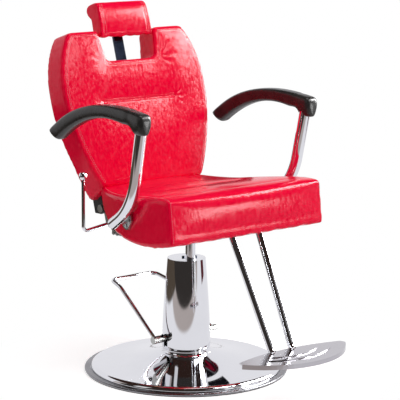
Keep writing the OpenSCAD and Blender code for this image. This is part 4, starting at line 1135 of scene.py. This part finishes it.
class CHAIR_OT_studio(bpy.types.Operator):
    """Builds the floor, the lights, the reflection cards and the camera"""

    bl_idname = "chair.studio"
    bl_label = "Studio"

    def execute(self, context):
        scene = context.scene
        scene.view_settings.view_transform = "Standard"
        bm = bmesh.new()
        bmesh.ops.create_circle(bm, cap_ends=True, segments=64, radius=9.0)
        floor = as_object("floor", bm)
        bm.free()
        floor.data.materials.append(seamless_paper(0.62, 0.8, 0.31, 0.62))

        world = bpy.data.worlds.new("studio")
        scene.world = world
        world.use_nodes = True
        tree = world.node_tree
        tree.nodes.clear()
        path = add(tree, "LightPath").outputs
        fill = add(tree, "Background", {"Color": (1, 1, 1, 1), "Strength": FILL})
        room = add(tree, "Background", {"Color": (*srgb("#33241F"), 1), "Strength": 1.0})
        white = add(tree, "Background", {"Color": (1, 1, 1, 1), "Strength": 1.0})
        mirrored = add(tree, "MixShader", links={0: path["Is Glossy Ray"], 1: fill, 2: room})
        mix = add(tree, "MixShader", links={0: seen_rays(tree, False), 1: mirrored, 2: white})
        add(tree, "OutputWorld", links={"Surface": mix})

        softbox("key", 24, 44, 3.2, (1.2, 1.2), 46)
        softbox("gloss_side", 74, 20, 3.2, (1.2, 1.6), 130).visible_diffuse = False
        softbox("gloss_high", 62, 36, 3.2, (1.2, 1.0), 100).visible_diffuse = False
        softbox("gloss_low", 33, 1, 3.0, (0.5, 0.4), 14).visible_diffuse = False
        softbox("left_fill", -95, 25, 3.4, (1.0, 1.6), 4)
        softbox("top", 0, 88, 3.0, (1.6, 1.6), 18)
        white, mid, dark, brown = srgb("#F1F0F3"), srgb("#B5ABA7"), srgb("#35312F"), srgb("#52483E")
        front = (DARK_FRONT, [(0.72, white), (0.84, mid), (1.55, mid), (1.66, dark), (ROOM, dark)])
        left = (DARK_LEFT, [(1.15, white), (1.27, brown), (ROOM, brown)])
        ground, wall = [(0.34, 0.0015), (ROOM, 0.0015)], [(ROOM, -0.05), (ROOM, 3.2)]
        stand(sweep(ground, -180, 180, 64), "room_floor", room_tone("room_floor", [front, left]))
        stand(sweep(wall, -180, 180, 64), "room_wall", room_tone("room_wall", [front]))
        for name, tone, reach, heights, start, end in (
            ("dark_low", dark, 4.3, (0.0, 0.34), 14, 42),
            ("dark_right", srgb("#2A1D1C"), 2.2, (0.72, 2.2), -4, 46),
            ("red_banner", srgb("#5A2A30"), 2.0, (0.0, 0.36), 52, 74),
            ("front_strip", srgb("#FFFFFF"), 2.0, (0.0, 1.6), 5, 15),
        ):
            stand(sweep([(reach, z) for z in heights], start, end, 48), name, glow_card(name, tone)[0])
        # the flags carry a painted reflection: the seat's dark underside and red vinyl, striped on cards
        # behind the base for the dish to mirror
        cloth = painted_reflection_card("painted_reflection_flag")
        flags = (("flag_low", 0.22, 0.31, 12), ("flag_middle", 0.31, 0.445, 15), ("flag_top", 0.49, 0.64, 19))
        for name, low, top, half in flags:
            stand(sweep([(FLAGS, low), (FLAGS, top)], BEHIND - half, BEHIND + half), name, cloth)

        camera = bpy.data.cameras.new("camera")
        camera.lens = CAMERA_LENS
        camera.sensor_width = 36
        camera.clip_end = 50
        rig = bpy.data.objects.new("camera", camera)
        back = away(CAMERA_AZIMUTH, CAMERA_ELEVATION)
        right = Vector((math.cos(CAMERA_AZIMUTH), math.sin(CAMERA_AZIMUTH), 0))
        up = back.cross(right)
        c, s = math.cos(CAMERA_ROLL), math.sin(CAMERA_ROLL)
        right, up = c * right + s * up, c * up - s * right
        turn = Matrix((right, up, back)).transposed().to_4x4()
        rig.matrix_world = Matrix.Translation(CAMERA_TARGET + back * CAMERA_DISTANCE) @ turn
        scene.collection.objects.link(rig)
        scene.camera = rig
        return {"FINISHED"}


# ---------------- panel and registration


class CHAIR_PT_trim(bpy.types.Panel):
    """Lists the pieces of the chair and their settings"""

    bl_idname = "CHAIR_PT_trim"
    bl_label = "Chair"
    bl_space_type = "VIEW_3D"
    bl_region_type = "UI"
    bl_category = "Chair"

    def draw(self, context):
        for group in (context.scene.chair_sizes, context.scene.chair_colours):
            for key in group.__annotations__:
                self.layout.prop(group, key)
        for operator in OPERATORS:
            self.layout.operator(operator.bl_idname)


OPERATORS = (
    CHAIR_OT_finishes,
    CHAIR_OT_plated_pieces,
    CHAIR_OT_back_cushion,
    CHAIR_OT_back_panel,
    CHAIR_OT_headrest,
    CHAIR_OT_seat_cushion,
    CHAIR_OT_arm_pads,
    CHAIR_OT_studio,
)
CLASSES = (ChairSizes, ChairColours, *OPERATORS, CHAIR_PT_trim)


def register():
    for cls in CLASSES:
        bpy.utils.register_class(cls)
    bpy.types.Scene.chair_sizes = PointerProperty(type=ChairSizes)
    bpy.types.Scene.chair_colours = PointerProperty(type=ChairColours)


def unregister():
    del bpy.types.Scene.chair_colours
    del bpy.types.Scene.chair_sizes
    for cls in reversed(CLASSES):
        bpy.utils.unregister_class(cls)


def main():
    register()
    bpy.ops.chair.finishes()
    bpy.ops.chair.plated_pieces()
    bpy.ops.chair.back_cushion()
    bpy.ops.chair.back_panel()
    bpy.ops.chair.headrest()
    bpy.ops.chair.seat_cushion()
    bpy.ops.chair.arm_pads()
    bpy.ops.chair.studio()
    bpy.context.view_layer.update()


if __name__ == "__main__":
    main()
